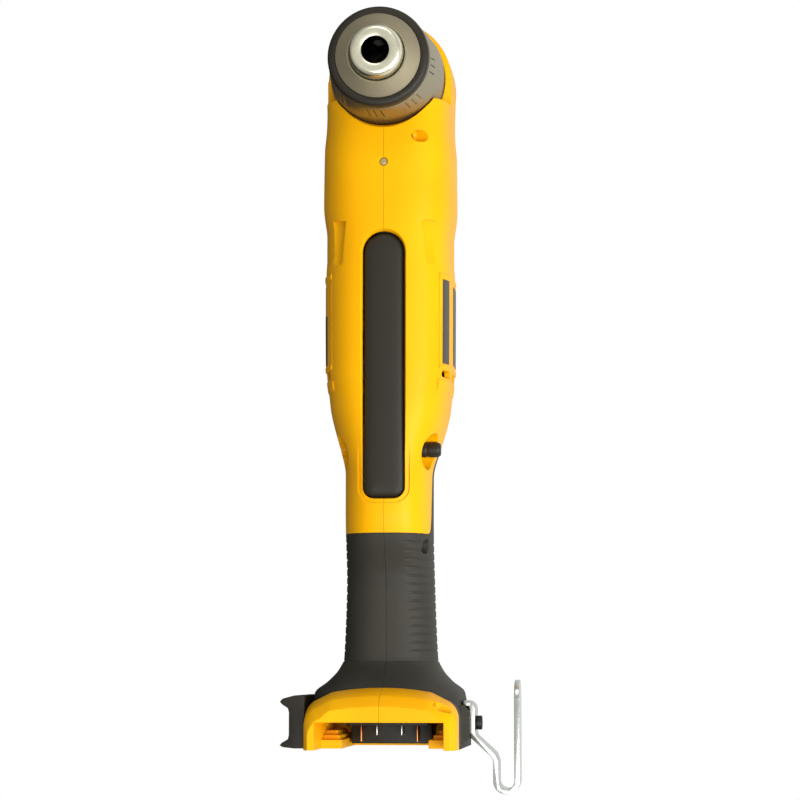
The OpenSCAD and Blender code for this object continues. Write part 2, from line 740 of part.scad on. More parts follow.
module bevel_gear() {
    color("#777a7e") difference() {
        union() {
            translate([0, 0, axis_h]) rotate([180, 0, 0])
                bevel(bevel_teeth, 90 - pinion_cone, bevel_module, bevel_face, pinion_pr + 5);
            translate([0, 0, drum_back + 8.6])
                cylinder(r = spindle_r + 4, h = axis_h - pinion_pr - drum_back - 11);
        }
        translate([0, 0, -1]) cylinder(r = spindle_r + run_gap, h = axis_h + 1);
    }
}

// Three holes that lean towards the chuck axis and guide the jaws.
module jaw_path(k, r, from, h) {
    rotate(90 + 120 * k)
        translate([jaw_out - jaw_r / cos(jaw_angle), 0, axis_h + jaw_front])
            rotate([0, -jaw_angle, 0]) translate([0, 0, from]) cylinder(r = r, h = h);
}

module chuck_body() {
    color("#a5a294") difference() {
        rotate_extrude() polygon([
            [bore_r - 0.6, hub_z], [chuck_body_r - 3, hub_z], [chuck_body_r, hub_z + 3.5],
            [chuck_body_r, nut_z - 0.2], [bore_r + 5, nut_z - 0.2], [bore_r + 5, nut_z + nut_h + 0.2],
            [chuck_body_r, nut_z + nut_h + 0.2], [chuck_body_r, ring_top - 2.5],
            [nose_r, ring_top - 0.5], [nose_r, axis_h + nose_z - 3],
            [nose_r - 0.4, axis_h + nose_z - 1.4], [nose_r - 1.6, axis_h + nose_z],
            [bore_r, axis_h + nose_z], [bore_r, axis_h + nose_z - guide_len],
            [bore_r + 0.55, axis_h + nose_z - guide_len], [bore_r + 0.55, hub_z + 13.2],
            [4.6, hub_z + 13.2], [4.6, hub_z + 10],
            [2.6, hub_z + 10], [2.6, hub_z + 9.2],
            [bore_r - 0.6, hub_z + 9.2]]);
        for (k = [0 : 2]) jaw_path(k, channel_r, -jaw_len - 1, jaw_len + 20);
    }
}

module chuck_screw() {
    color("#4c4d4f") union() {
        translate([0, 0, hub_z + 10]) cylinder(r = 3.8, h = 2.8);
        translate([0, 0, hub_z - 1]) cylinder(r = 2.4, h = 11.5);
    }
}

module chuck_sleeve() {
    color("#928b7c") rotate_extrude() polygon([
        [skirt_r, sleeve_z], [sleeve_rear_r - 0.3, sleeve_z], [sleeve_rear_r, sleeve_z + 0.5],
        [sleeve_front_r, sleeve_top], [chuck_body_r + 0.3, sleeve_top],
        [chuck_body_r + 0.3, hub_z + 2], [skirt_r, hub_z + 0.5]]);
}

module chuck_band() {
    color("#2c2b29") rotate_extrude() polygon([
        [skirt_r, sleeve_z - 4.4], [sleeve_rear_r - 1, sleeve_z - 4.4], [sleeve_rear_r - 0.2, sleeve_z - 3.4],
        [sleeve_rear_r - 0.2, sleeve_z], [skirt_r, sleeve_z]]);
}

module chuck_ring() {
    color("#262523") rotate_extrude() polygon([
        [chuck_body_r + 0.3, sleeve_top], [sleeve_front_r - 0.4, sleeve_top],
        [sleeve_front_r - 0.2, sleeve_top + 0.6], [sleeve_front_r - 0.2, ring_top - 1.6],
        [sleeve_front_r - 0.7, ring_top - 0.5], [sleeve_front_r - 1.8, ring_top],
        [chuck_body_r + 0.3, ring_top]]);
}

module chuck_cap() {
    color("#77726a") rotate_extrude() polygon([
        [chuck_body_r + 0.3, ring_top - 2.2], [chuck_body_r + 0.3, ring_top + 0.6],
        [nose_r + 0.9, cap_top], [nose_r + 0.3, cap_top], [nose_r + 0.3, ring_top]]);
}

module chuck_nut() {
    color("#6f6c66") translate([0, 0, nut_z]) difference() {
        cylinder(r = chuck_body_r + 0.3, h = nut_h);
        translate([0, 0, -0.01]) cylinder(
            r1 = jaw_out + (axis_h + jaw_front - nut_z) * jaw_tan + 0.2,
            r2 = jaw_out + (axis_h + jaw_front - nut_z - nut_h) * jaw_tan + 0.2, h = nut_h + 0.02);
    }
}

module jaw(k) {
    color("#55565a") intersection() {
        jaw_path(k, jaw_r, -jaw_len, jaw_len + 6);
        translate([0, 0, axis_h + jaw_front - 60]) cylinder(r = 30, h = 60);
        rotate(90 + 120 * k) translate([bore_r - 0.25, 0, 0]) linear_extrude(height = 140)
            polygon([[0.4, -0.66], [20, -33], [20, 33], [0.4, 0.66]]);
    }
}

module jaw_1() {
    jaw(0);
}

module jaw_2() {
    jaw(1);
}

module jaw_3() {
    jaw(2);
}

module bevel_pinion() {
    color("#808387") union() {
        translate([0, 0, axis_h]) rotate([90, 0, 0])
            bevel(pinion_teeth, pinion_cone, bevel_module, bevel_face, bevel_pr + 1.2);
        on_axis(bevel_pr + 0.6) cylinder(r = pinion_collar_r, h = neck_bearing_d - bevel_pr - 0.6);
        on_axis(bevel_pr + 1) cylinder(r = pinion_shaft_r, h = carrier_2_d + 2 - bevel_pr);
    }
}

module pinion_bearing_outer() {
    color("#b9bcc0") on_axis(neck_bearing_d)
        race_outer(pinion_bearing_r, pinion_shaft_r, neck_bearing_w);
}

module pinion_bearing_balls() {
    color("#d7dade") on_axis(neck_bearing_d)
        ball_set(pinion_bearing_r, pinion_shaft_r, neck_bearing_w, 6);
}

module pinion_bearing_inner() {
    color("#b9bcc0") on_axis(neck_bearing_d)
        race_inner(pinion_bearing_r, pinion_shaft_r, neck_bearing_w);
}

module gearbox_case() {
    color("#4a4f52") difference() {
        on_axis(box_d) cylinder(r = box_r, h = plate_d - box_d);
        on_axis(box_d + 2.4) cylinder(r = ring_r + seat_gap, h = 60);
        on_axis(box_d - 1) cylinder(r = pinion_shaft_r + 2, h = 10);
        translate([-3.4, -shift_d - shift_w / 2 - shift_travel - 1.8, -5])
            cube([6.8, shift_travel + 3.6, axis_h]);
    }
}

module carrier_2() {
    color("#85888b") union() {
        difference() {
            on_axis(carrier_2_d) cylinder(r = orbit_2 + 2.6, h = 3.4);
            on_axis(carrier_2_d - 1) cylinder(r = pinion_shaft_r + 0.02, h = 10);
        }
        for (k = [0 : 2])
            on_axis(carrier_2_d + 3.3) rotate(120 * k) translate([orbit_2, 0, 0])
                cylinder(r = 1.6, h = gear_w + 0.8);
    }
}

module planet(stage, k) {
    d = stage == 1 ? stage_1_d : stage_2_d;
    teeth = stage == 1 ? planet_1 : planet_2;
    orbit = stage == 1 ? orbit_1 : orbit_2;
    pin = stage == 1 ? 2 : 1.6;
    color("#9b9d9f") on_axis(d) rotate(120 * k) translate([orbit, 0, 0]) difference() {
        rotate(180 + 180 / teeth) spur(teeth, gear_w);
        translate([0, 0, -1]) cylinder(r = pin + run_gap, h = gear_w + 2);
    }
}

module planet_2a() {
    planet(2, 0);
}

module planet_2b() {
    planet(2, 1);
}

module planet_2c() {
    planet(2, 2);
}

// Ring gear of the second stage; it slides along the case to change the speed.
module shift_ring() {
    color("#6d7073") difference() {
        on_axis(shift_d) ring_wheel(shift_w);
        on_axis(shift_d + shift_w / 2 - 1.2) difference() {
            cylinder(r = ring_r + 1, h = 2.4);
            translate([0, 0, -1]) cylinder(r = ring_r - 0.9, h = 5);
        }
    }
}

module shift_fork() {
    color("#8a8d90") translate([-2.6, -shift_d - shift_w / 2 - 1, axis_h - box_r - 1.6])
        cube([5.2, 2, box_r - ring_r + 2.2]);
}

module speed_selector() {
    color("#2b2a28") difference() {
        union() {
            translate([-5.2, -selector_d - 6, 1]) cube([10.4, 12, wall + 1.4]);
            translate([-8, -selector_d - 9, wall + 2]) cube([16, 18, 1.6]);
            translate([-4, -shift_d - shift_w / 2 - 2.6, wall + 3])
                cube([8, 5.2, axis_h - box_r - 0.6 - wall - 3]);
        }
        translate([-2.65, -shift_d - shift_w / 2 - 1.05, axis_h - box_r - 1.7]) cube([5.3, 2.1, 6]);
        for (k = [-1 : 1])
            translate([-6, -selector_d + 3 * k - 0.5, 0]) cube([12, 1, 1.6]);
    }
}

module carrier_1() {
    color("#85888b") union() {
        on_axis(carrier_1_d) cylinder(r = orbit_1 + 3.4, h = 3);
        on_axis(stage_2_d) rotate(0) spur(sun_2, carrier_1_d - stage_2_d + 0.1);
        for (k = [0 : 2])
            on_axis(carrier_1_d + 2.9) rotate(120 * k) translate([orbit_1, 0, 0])
                cylinder(r = 2, h = gear_w + 1.2);
    }
}

module planet_1a() {
    planet(1, 0);
}

module planet_1b() {
    planet(1, 1);
}

module planet_1c() {
    planet(1, 2);
}

module ring_gear() {
    color("#6d7073") on_axis(ring_1_d) ring_wheel(plate_d - ring_1_d);
}

module motor_plate() {
    color("#8b8e90") on_axis(plate_d) tube(box_r, 6.2, 2.2);
}

module motor_can() {
    color("#a3a6a8") difference() {
        on_axis(can_d) cylinder(r = can_r, h = can_len);
        on_axis(can_d + 1.8) cylinder(r = can_r - 1.9, h = can_len);
        on_axis(can_d - 1) cylinder(r = motor_shaft_r + run_gap, h = 10);
    }
}

module motor_magnets() {
    color("#3c3d40") on_axis(can_d + 4) difference() {
        tube(can_r - 2, can_r - 4.4, can_len - 10);
        for (s = [0, 180])
            rotate(s) translate([-5, 0, -1]) cube([10, 30, can_len - 1]);
    }
}

// Motor shaft with the sun gear of the first stage cut on its front end.
module motor_shaft() {
    color("#c2c5c8") union() {
        on_axis(stage_1_d + 0.3) spur(sun_1, gear_w + 1.6);
        on_axis(stage_1_d + gear_w) cylinder(r = motor_shaft_r, h = fan_d + 9 - stage_1_d - gear_w);
    }
}

module armature() {
    color("#7a5a3c") difference() {
        union() {
            on_axis(can_d + 6) cylinder(r = armature_r, h = can_len - 15);
            on_axis(can_d + 3.4) cylinder(r = armature_r - 2.4, h = can_len - 9.4);
        }
        on_axis(can_d) cylinder(r = motor_shaft_r + 0.02, h = can_len + 19);
        for (k = [0 : pole_count - 1])
            on_axis(can_d + 5) rotate(360 * k / pole_count)
                translate([armature_r - 2, -0.9, 0]) cube([4, 1.8, can_len - 13]);
    }
}

module commutator() {
    color("#b5713a") on_axis(bell_d + 0.4) tube(5.6, motor_shaft_r + 0.02, 6.4);
}

module brushes() {
    color("#2f2f31") for (s = [-1, 1])
        translate([s * 10.4 - 4.7, -bell_d - 6, axis_h - 2]) cube([9.4, 5, 4]);
}

module end_bell() {
    color("#2e3236") difference() {
        on_axis(bell_d) cylinder(r = can_r, h = bell_len);
        on_axis(bell_d - 1) cylinder(r = 13, h = 9);
        on_axis(bell_d - 1) cylinder(r = motor_shaft_r + run_gap, h = 20);
        translate([-15.2, -bell_d - 6.1, axis_h - 2.1]) cube([30.4, 5.2, 4.2]);
    }
}

module fan() {
    color("#d8d4c8") difference() {
        on_axis(fan_d) union() {
            cylinder(r = 5, h = 6.5);
            cylinder(r = fan_r, h = 1.2);
            for (k = [0 : 10])
                rotate(360 * k / 11) translate([4, -0.5, 0.6]) cube([fan_r - 4.6, 1, 5.9]);
        }
        on_axis(fan_d - 1) cylinder(r = motor_shaft_r + 0.02, h = 12);
    }
}

module switch_body() {
    color("#2a2b2d") difference() {
        translate([-9, -switch_d - switch_len, switch_top - 16]) cube([18, switch_len, 16]);
        translate([-3.1, -plunger_d - 3.1, switch_top - 8]) cube([6.2, 6.2, 10]);
    }
}

module switch_plunger() {
    color("#8c2f22") translate([-3, -plunger_d - 3, switch_top - 2.4])
        cube([6, 6, paddle_z - switch_top + 2.1]);
}

module paddle_trigger() {
    color("#2b2a26") difference() {
        union() {
            translate([0, 0, paddle_z]) linear_extrude(height = paddle_t) paddle_outline(0);
            intersection() {
                across(pivot_d, pivot_z) translate([0, 0, -paddle_w / 2]) cylinder(r = 3.4, h = paddle_w);
                translate([0, 0, paddle_z - 2]) linear_extrude(height = paddle_t) paddle_outline(0);
            }
        }
        across(pivot_d, pivot_z) translate([0, 0, -20]) cylinder(r = pivot_r + run_gap, h = 40);
        translate([-paddle_w / 2 + 2, -paddle_end_d + 12, paddle_z - 1])
            cube([paddle_w - 4, 66, 0.6]);
    }
}

module paddle_pin() {
    color("#a0a3a6") across(pivot_d, pivot_z) translate([0, 0, -15]) cylinder(r = pivot_r, h = 30);
}

module direction_button() {
    color("#2b2a26") across(button_d, button_z) union() {
        translate([0, 0, -12.5]) cylinder(r = button_r, h = 33);
        translate([0, 0, 20.4]) cylinder(r1 = button_r, r2 = button_r - 0.6, h = 1);
        translate([0, 0, -13.5]) cylinder(r1 = button_r - 0.6, r2 = button_r, h = 1);
    }
}

module led_board() {
    color("#2f6b45") translate([-4, -led_d - 4.5, axis_h + body_front - 5.9]) cube([8, 9, 1.4]);
}

module led_lens() {
    color("#e8efe9") union() {
        translate([0, -led_d, axis_h + body_front - 4.5]) cylinder(r = 2.6, h = 1.6);
        translate([0, -led_d, axis_h + body_front - 3]) cylinder(r = 1.6, h = 3.3);
        translate([0, -led_d, axis_h + body_front + 0.3]) cylinder(r1 = 1.6, r2 = 1, h = 0.4);
    }
}

module terminal_block() {
    color("#1f1e1d") union() {
        translate([-16.4, -slot_top_d - 1.8, slot_back]) cube([32.8, 1.8, block_front - slot_back + 17]);
        translate([-16.4, -slot_top_d - 9.4, slot_back]) cube([32.8, 9.4, block_front - slot_back]);
    }
}

module terminals() {
    color("#c98a55") for (x = [-11.3, -5, 5, 11.3]) {
        drop = abs(x) > 8 ? 6.6 : 4;
        translate([x - 0.4, -slot_top_d - 1.8 - drop, block_front]) cube([0.8, drop, 10]);
    }
}

// Middle line of the bent hook strip, from its tab to the free end.
function arc(c, r, a0, a1, n) = [for (i = [0 : n]) c + r * [cos(a0 + (a1 - a0) * i / n),
    sin(a0 + (a1 - a0) * i / n)]];
function strip(path, t) =
    let (n = len(path))
    let (side = [for (i = [0 : n - 1])
        let (a = path[max(0, i - 1)], b = path[min(n - 1, i + 1)], v = (b - a) / norm(b - a))
        [-v[1], v[0]] * t / 2])
    concat([for (i = [0 : n - 1]) path[i] + side[i]], [for (i = [n - 1 : -1 : 0]) path[i] - side[i]]);

module belt_hook() {
    base_x = foot_half_w + seat_t + hook_t / 2;
    leg_x = base_x + 9.2;
    bend = (hook_reach - leg_x) / 2;
    path = concat(
        [[base_x - 3.5, -foot_end_d + 17.8]],
        arc([base_x - 2.4, -foot_end_d + 15.4], 2.4, 90, 0, 5),
        [[base_x, -foot_end_d + 6.4]],
        [[base_x + 0.8, -foot_end_d + 4.2], [leg_x - 0.9, -foot_end_d - 2.6], [leg_x, -foot_end_d - 5]],
        arc([leg_x + bend, -hook_end_d + hook_t / 2 + bend], bend, 180, 360, 12),
        [[hook_reach, -foot_end_d + 27]]);
    color("#cfd2d4") difference() {
        intersection() {
            translate([0, 0, hook_z - hook_w / 2]) linear_extrude(height = hook_w)
                polygon(strip(path, hook_t));
            union() {
                translate([20, -hook_end_d - 1, hook_z - hook_w / 2])
                    cube([60, hook_end_d + 1 - foot_end_d + 18.5, hook_w]);
                across(foot_end_d - 27 + hook_w / 2, hook_z)
                    translate([0, 0, 20]) cylinder(r = hook_w / 2, h = 60);
            }
        }
        across(hook_screw_d, hook_z) translate([0, 0, 20]) cylinder(r = 2.05, h = 20);
    }
}

module bit_clip() {
    front = bezel_z + 1;
    face = foot_half_w + seat_gap / 2;
    top = -foot_end_d + 20.4;
    color("#2b2a28") difference() {
        translate([0, 0, front - clip_len]) linear_extrude(height = clip_len) polygon([
            [-face, -foot_end_d + 0.4], [-face, top + 0.6], [-face - 4, top + 0.6],
            [-clip_x + 1.2, top - 0.6], [-clip_x, top - 1.8], [-clip_x + 0.8, top - 2.8],
            [-clip_x + 3.2, top - 4.4], [-clip_x + 3.6, top - 6], [-clip_x + 3.6, -foot_end_d + 5.6],
            [-clip_x + 3.2, -foot_end_d + 4], [-clip_x + 0.8, -foot_end_d + 2.6],
            [-clip_x, -foot_end_d + 1.6], [-clip_x + 1.2, -foot_end_d + 0.9], [-face - 4, -foot_end_d + 0.4]]);
        across(hook_screw_d, hook_z) translate([0, 0, -60]) cylinder(r = 2.05, h = clip_x);
        across(hook_screw_d, hook_z) translate([0, 0, -60]) cylinder(r = 4.1, h = 62.4 - clip_x + 3.2);
    }
}

// Screws that hold the hook and the clip to the foot.
module accessory_screws() {
    seat = foot_half_w + seat_t + hook_t;
    color("#1d1c1b") {
        across(hook_screw_d, hook_z) translate([0, 0, seat]) cylinder(r = 2.8, h = 2.4);
        across(hook_screw_d, hook_z) translate([0, 0, 26]) cylinder(r = 2, h = seat - 25.5);
        across(hook_screw_d, hook_z) translate([0, 0, 5.6 - clip_x - 2.2]) cylinder(r = 4, h = 2.2);
        across(hook_screw_d, hook_z) translate([0, 0, 5.6 - clip_x - 0.5])
            cylinder(r = 2, h = clip_x - 5.1 - 26);
    }
}

module housing_screws() {
    color("#3a3a3c") for (q = screw_spots) {
        across(q[0], axis_h + q[1]) translate([0, 0, 6]) cylinder(r = 2.8, h = 2.2);
        across(q[0], axis_h + q[1]) translate([0, 0, -8.5]) cylinder(r = 1.5, h = 15);
    }
}

housing_left();
housing_right();
grip_left();
grip_right();
gear_case();
spindle_bearing_outer();
spindle_bearing_balls();
spindle_bearing_inner();
spindle_bush();
spindle();
bevel_gear();
chuck_body();
chuck_screw();
chuck_sleeve();
chuck_band();
chuck_ring();
chuck_cap();
chuck_nut();
jaw_1();
jaw_2();
jaw_3();
bevel_pinion();
pinion_bearing_outer();
pinion_bearing_balls();
pinion_bearing_inner();
gearbox_case();
carrier_2();
planet_2a();
planet_2b();
planet_2c();
shift_ring();
shift_fork();
speed_selector();
carrier_1();
planet_1a();
planet_1b();
planet_1c();
ring_gear();
motor_plate();
motor_can();
motor_magnets();
motor_shaft();
armature();
commutator();
brushes();
end_bell();
fan();
switch_body();
switch_plunger();
paddle_trigger();
paddle_pin();
direction_button();
led_board();
led_lens();
terminal_block();
terminals();
belt_hook();
bit_clip();
accessory_screws();
housing_screws();
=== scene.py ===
import math

import bmesh
import bpy
from mathutils import Matrix, Vector


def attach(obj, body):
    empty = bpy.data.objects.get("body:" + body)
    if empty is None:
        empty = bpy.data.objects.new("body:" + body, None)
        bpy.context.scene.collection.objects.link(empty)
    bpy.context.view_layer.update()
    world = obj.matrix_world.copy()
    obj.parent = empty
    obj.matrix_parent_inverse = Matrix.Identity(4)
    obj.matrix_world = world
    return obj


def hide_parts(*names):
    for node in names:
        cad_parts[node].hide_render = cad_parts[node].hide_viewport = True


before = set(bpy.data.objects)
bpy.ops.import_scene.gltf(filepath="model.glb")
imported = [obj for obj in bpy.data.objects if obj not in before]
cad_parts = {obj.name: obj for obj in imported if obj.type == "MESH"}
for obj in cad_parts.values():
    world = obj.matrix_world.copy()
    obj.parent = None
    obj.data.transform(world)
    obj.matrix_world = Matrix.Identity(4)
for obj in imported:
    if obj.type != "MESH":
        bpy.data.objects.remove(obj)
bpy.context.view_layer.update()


# Studio. The tool lies on its back on a pale sheet and is seen from above, a little from the right.
# A broad soft lamp on the right gives the bright flank, one in front and one beyond the head fill, and a
# weak one on the left opens the shade.
scene = bpy.context.scene
scene.view_settings.view_transform = "Standard"


def bare():
    # Leaves nothing selected, so that the next operator acts on its own piece alone.
    if bpy.context.mode != "OBJECT":
        bpy.ops.object.mode_set(mode="OBJECT")
    bpy.ops.object.select_all(action="DESELECT")


def paint(code):
    # The linear colour of an sRGB hex value.
    parts = [int(code[k:k + 2], 16) / 255 for k in (1, 3, 5)]
    return [c / 12.92 if c <= 0.04045 else ((c + 0.055) / 1.055) ** 2.4 for c in parts] + [1.0]


def add(tree, kind, inputs=None, **settings):
    # Adds a node with its settings, and links or sets its inputs.
    made = tree.nodes.new("ShaderNode" + kind)
    for name, value in settings.items():
        setattr(made, name, value)
    for name, value in (inputs or {}).items():
        if isinstance(value, bpy.types.NodeSocket):
            tree.links.new(value, made.inputs[name])
        else:
            made.inputs[name].default_value = value
    return made


def finish(name):
    # A new material, its empty node tree, and the place on the piece that its patterns read.
    made = bpy.data.materials.new(name)
    made.use_nodes = True
    made.node_tree.nodes.clear()
    return made, made.node_tree, add(made.node_tree, "TexCoord").outputs["Object"]


# The camera's focal length and the width of its picture are in pixels of the photograph.
eye = Vector((0.10917, -0.23951, 1.06433))
aim = Vector((0.00333, -0.13110, 0.031))
focal_pixels = 2547.8
picture_pixels = 800
sensor = 36
bare()
bpy.ops.object.camera_add(location=eye)
camera = bpy.context.object
ahead = (aim - eye).normalized()
right = ahead.cross(Vector((0, 1, 0))).normalized()
camera.rotation_euler = Matrix((right, right.cross(ahead), -ahead)).transposed().to_euler()
camera.data.sensor_width = sensor
camera.data.lens = sensor * focal_pixels / picture_pixels
scene.camera = camera

for name, spot, size, watts in (("lamp_right", (0.80, -0.35, 0.75), 0.6, 10.7),
                                ("lamp_front", (0.25, -0.55, 1.25), 0.8, 8.7),
                                ("lamp_top", (0.05, 0.85, 0.8), 0.6, 2.6),
                                ("lamp_left", (-0.9, 0.0, 0.9), 0.9, 0.5)):
    bare()
    bpy.ops.object.light_add(type="AREA", location=spot)
    lamp = bpy.context.object
    lamp.name = name
    lamp.data.size = size
    lamp.data.energy = watts
    lamp.rotation_euler = (aim - Vector(spot)).to_track_quat("-Z", "Y").to_euler()

# The room is white to the camera and through clear pieces. It lights the tool more from the right, and
# metal mirrors a room that is brighter than that light, most of all overhead.
room = bpy.data.worlds.new("white_room")
scene.world = room
room.use_nodes = True
tree = room.node_tree
tree.nodes.clear()
way = add(tree, "SeparateXYZ", {"Vector": add(tree, "TexCoord").outputs["Generated"]})
sideways = {"Value": way.outputs["X"], "From Min": -0.9, "From Max": 0.9}
lit = add(tree, "MapRange", {**sideways, "To Min": 0.15, "To Max": 0.62})
shine = add(tree, "MapRange", {**sideways, "To Min": 0.42, "To Max": 0.70})
above = add(tree, "MapRange", {"Value": way.outputs["Z"], "From Min": 0.70, "From Max": 0.97, "To Max": 0.22})
shine = add(tree, "Math", {0: shine.outputs["Result"], 1: above.outputs["Result"]})
ray = add(tree, "LightPath")
level = add(tree, "MapRange", {"Value": ray.outputs["Is Glossy Ray"], "To Min": lit.outputs["Result"],
                               "To Max": shine.outputs[0]})
seen = add(tree, "Math", {0: ray.outputs["Is Camera Ray"], 1: ray.outputs["Is Transmission Ray"]},
           operation="MAXIMUM")
level = add(tree, "MapRange", {"Value": seen.outputs[0], "To Min": level.outputs["Result"], "To Max": 1.0})
air = add(tree, "Background", {"Color": (1, 1, 1, 1), "Strength": level.outputs["Result"]})
add(tree, "OutputWorld", {"Surface": air.outputs[0]})

# White paper: matt and even, white to the camera. Metal mirrors it as dim on the left and white on the
# right. Its fibres are drawn about 1 mm wide, coarser than they are, to show at all.
paper, tree, place = finish("white_paper")
fibres_per_metre = 900.0
ray = add(tree, "LightPath")
seen = add(tree, "Math", {0: ray.outputs["Is Camera Ray"], 1: ray.outputs["Is Glossy Ray"]},
           operation="MAXIMUM")
across = add(tree, "SeparateXYZ", {"Vector": place})
dim = add(tree, "MapRange", {"Value": across.outputs["X"], "From Min": -0.05, "From Max": 0.08,
                             "To Min": 0.04, "To Max": 1.1})
far = add(tree, "MapRange", {"Value": across.outputs["Y"], "From Min": 0.04, "From Max": 0.3, "To Max": 0.6})
dim = add(tree, "Math", {0: dim.outputs["Result"], 1: far.outputs["Result"]}, operation="MAXIMUM")
white = add(tree, "MapRange", {"Value": ray.outputs["Is Camera Ray"], "To Min": dim.outputs[0],
                               "To Max": 1.0})
fibre = add(tree, "TexNoise", {"Vector": place, "Scale": fibres_per_metre, "Detail": 2.0})
tint = add(tree, "Mix", {"Factor": fibre.outputs["Fac"], "A": paint("#a6a6a3"), "B": paint("#adadaa")},
           data_type="RGBA")
matt = add(tree, "BsdfDiffuse", {"Color": tint.outputs["Result"]})
glow = add(tree, "Emission", {"Color": (1, 1, 1, 1), "Strength": white.outputs["Result"]})
both = add(tree, "MixShader", {0: seen.outputs[0], 1: matt.outputs[0], 2: glow.outputs[0]})
add(tree, "OutputMaterial", {"Surface": both.outputs[0]})

sheet_width = 6
sheet_drop = 0.0006
bare()
bpy.ops.mesh.primitive_grid_add(x_subdivisions=8, y_subdivisions=8, size=sheet_width,
                                location=(0, 0, -sheet_drop))
bpy.ops.object.transform_apply(location=True)
sheet = bpy.context.object
sheet.name = "paper_sheet"
sheet.data.materials.append(paper)


# Housing halves: two mouldings of glass filled nylon, dyed yellow through and screwed together along
# the middle. Their skin runs through cross sections from the round head to the foot, in millimetres.
mm = 0.001
axis = 31.0

# At distances from the spindle: the half width, the height in front of the motor's axis, the depth
# behind it, and how square the section is, where 2 is an ellipse.
plan = [(0, 25.5), (14, 25.5), (22, 25.8), (31, 26.6), (54, 26.9), (58, 26.5), (66, 25.5), (76, 25.5),
        (80, 25.8), (121, 25.6), (128, 24.8), (137, 23.8), (142, 22.7), (146, 21.6), (153, 19.6), (163, 17.4),
        (187, 17.4), (236, 18.8), (241, 20.7), (245.5, 24.3), (250, 29.3), (257, 30.2)]
front = [(0, 30), (11.5, 30.6), (28, 33), (38.3, 33.5), (179, 33), (189, 30.5), (204, 23), (213, 21.5),
         (236, 21.5), (250, 37.6), (257, 38)]
back = [(0, 31), (20, 30.4), (60, 28), (137, 28), (166, 19.1), (213, 18.1), (236, 18.5), (250, 30.6),
        (257, 30.8)]
square = [(0, 5), (12, 3.9), (20, 3.4), (45, 3), (130, 2.9), (165, 2.7), (236, 2.6), (250, 3.6), (257, 3.8)]
body_end = plan[-1][0]


def ramp(value, start, length):
    # Rises from 0 to 1 over a length, and stays there.
    return min(1.0, max(0.0, (value - start) / length))


def along(keys, d):
    # A smooth curve through the keys, which doesn't swing past them.
    k = max(i for i in range(len(keys) - 1) if i == 0 or d >= keys[i][0])
    rises = [(b[1] - a[1]) / (b[0] - a[0]) for a, b in zip(keys, keys[1:])]
    lean = []
    for i in (k, k + 1):
        pair = rises[max(i - 1, 0):i + 1]
        flat = len(pair) < 2 or pair[0] * pair[1] <= 0
        lean.append(0.0 if flat else 2 * pair[0] * pair[1] / (pair[0] + pair[1]))
    h = keys[k + 1][0] - keys[k][0]
    t = ramp(d, keys[k][0], h)
    u = 1 - t
    return (keys[k][1] * (1 + 2 * t) * u * u + keys[k + 1][1] * t * t * (3 - 2 * t)
            + h * t * u * (lean[0] * u - lean[1] * t))


def section(d, inset=0.0, count=96, turn=None):
    # The skin's closed line at a distance, or the part of it between some turns.
    wide, high, low = (along(keys, d) - inset for keys in (plan, front, back))
    power = 2 / along(square, d)
    mid = axis + (high - low) / 2
    half = (high + low) / 2
    points = []
    for k in (range(count) if turn is None else turn):
        c = math.cos(2 * math.pi * k / count)
        s = math.sin(2 * math.pi * k / count)
        points.append((math.copysign(wide * abs(c) ** power, c), -d,
                       mid + math.copysign(half * abs(s) ** power, s)))
    return points


def body_stations(low, high, step):
    # Evenly spaced distances from one to another, both included.
    count = max(1, round((high - low) / step))
    return [low + (high - low) * k / count for k in range(count + 1)]


def skin(rings):
    # A tube drawn out from one closed line to the next, closed at both ends.
    bare()
    bpy.ops.mesh.primitive_circle_add(vertices=len(rings[0]), radius=1, fill_type="NGON")
    piece = bpy.context.object
    bpy.ops.object.mode_set(mode="EDIT")
    mesh = bmesh.from_edit_mesh(piece.data)
    line = list(mesh.verts)
    for v, p in zip(line, rings[0]):
        v.co = p
    for ring in rings[1:]:
        order = {tuple(v.co): k for k, v in enumerate(line)}
        bpy.ops.mesh.extrude_region_move()
        mesh = bmesh.from_edit_mesh(piece.data)
        line = sorted((v for v in mesh.verts if v.select), key=lambda v: order[tuple(v.co)])
        for v, p in zip(line, ring):
            v.co = p
    bmesh.update_edit_mesh(piece.data)
    bpy.ops.mesh.select_all(action="SELECT")
    bpy.ops.mesh.normals_make_consistent(inside=False)
    bpy.ops.object.mode_set(mode="OBJECT")
    return piece


def rounded(line, soft, parts=4):
    # Breaks each corner of a closed outline into a short curve.
    points = []
    for k, corner in enumerate(line):
        p = Vector(corner)
        before = Vector(line[k - 1]) - p
        after = Vector(line[(k + 1) % len(line)]) - p
        a = p + before.normalized() * min(soft, before.length * 0.45)
        b = p + after.normalized() * min(soft, after.length * 0.45)
        for i in range(parts + 1):
            t = i / parts
            points.append(tuple(a * (1 - t) ** 2 + p * 2 * t * (1 - t) + b * t * t))
    return points


def bar(radius, low, high):
    # The outline of a plain round bar, to be turned.
    return [(0, low), (radius, low), (radius, high), (0, high)]


def turned(line, steps=96):
    # A turned form, spun about the upright axis from its outline of radius and height.
    bare()
    bpy.ops.mesh.primitive_circle_add(vertices=len(line), radius=1, fill_type="NOTHING")
    piece = bpy.context.object
    for v, (r, z) in zip(piece.data.vertices, line):
        v.co = (r, 0, z)
    bpy.ops.object.mode_set(mode="EDIT")
    bpy.ops.mesh.select_all(action="SELECT")
    bpy.ops.mesh.spin(steps=steps, angle=2 * math.pi, center=(0, 0, 0), axis=(0, 0, 1))
    bpy.ops.mesh.select_all(action="SELECT")
    bpy.ops.mesh.remove_doubles(threshold=0.001)
    bpy.ops.mesh.normals_make_consistent(inside=False)
    bpy.ops.object.mode_set(mode="OBJECT")
    return piece


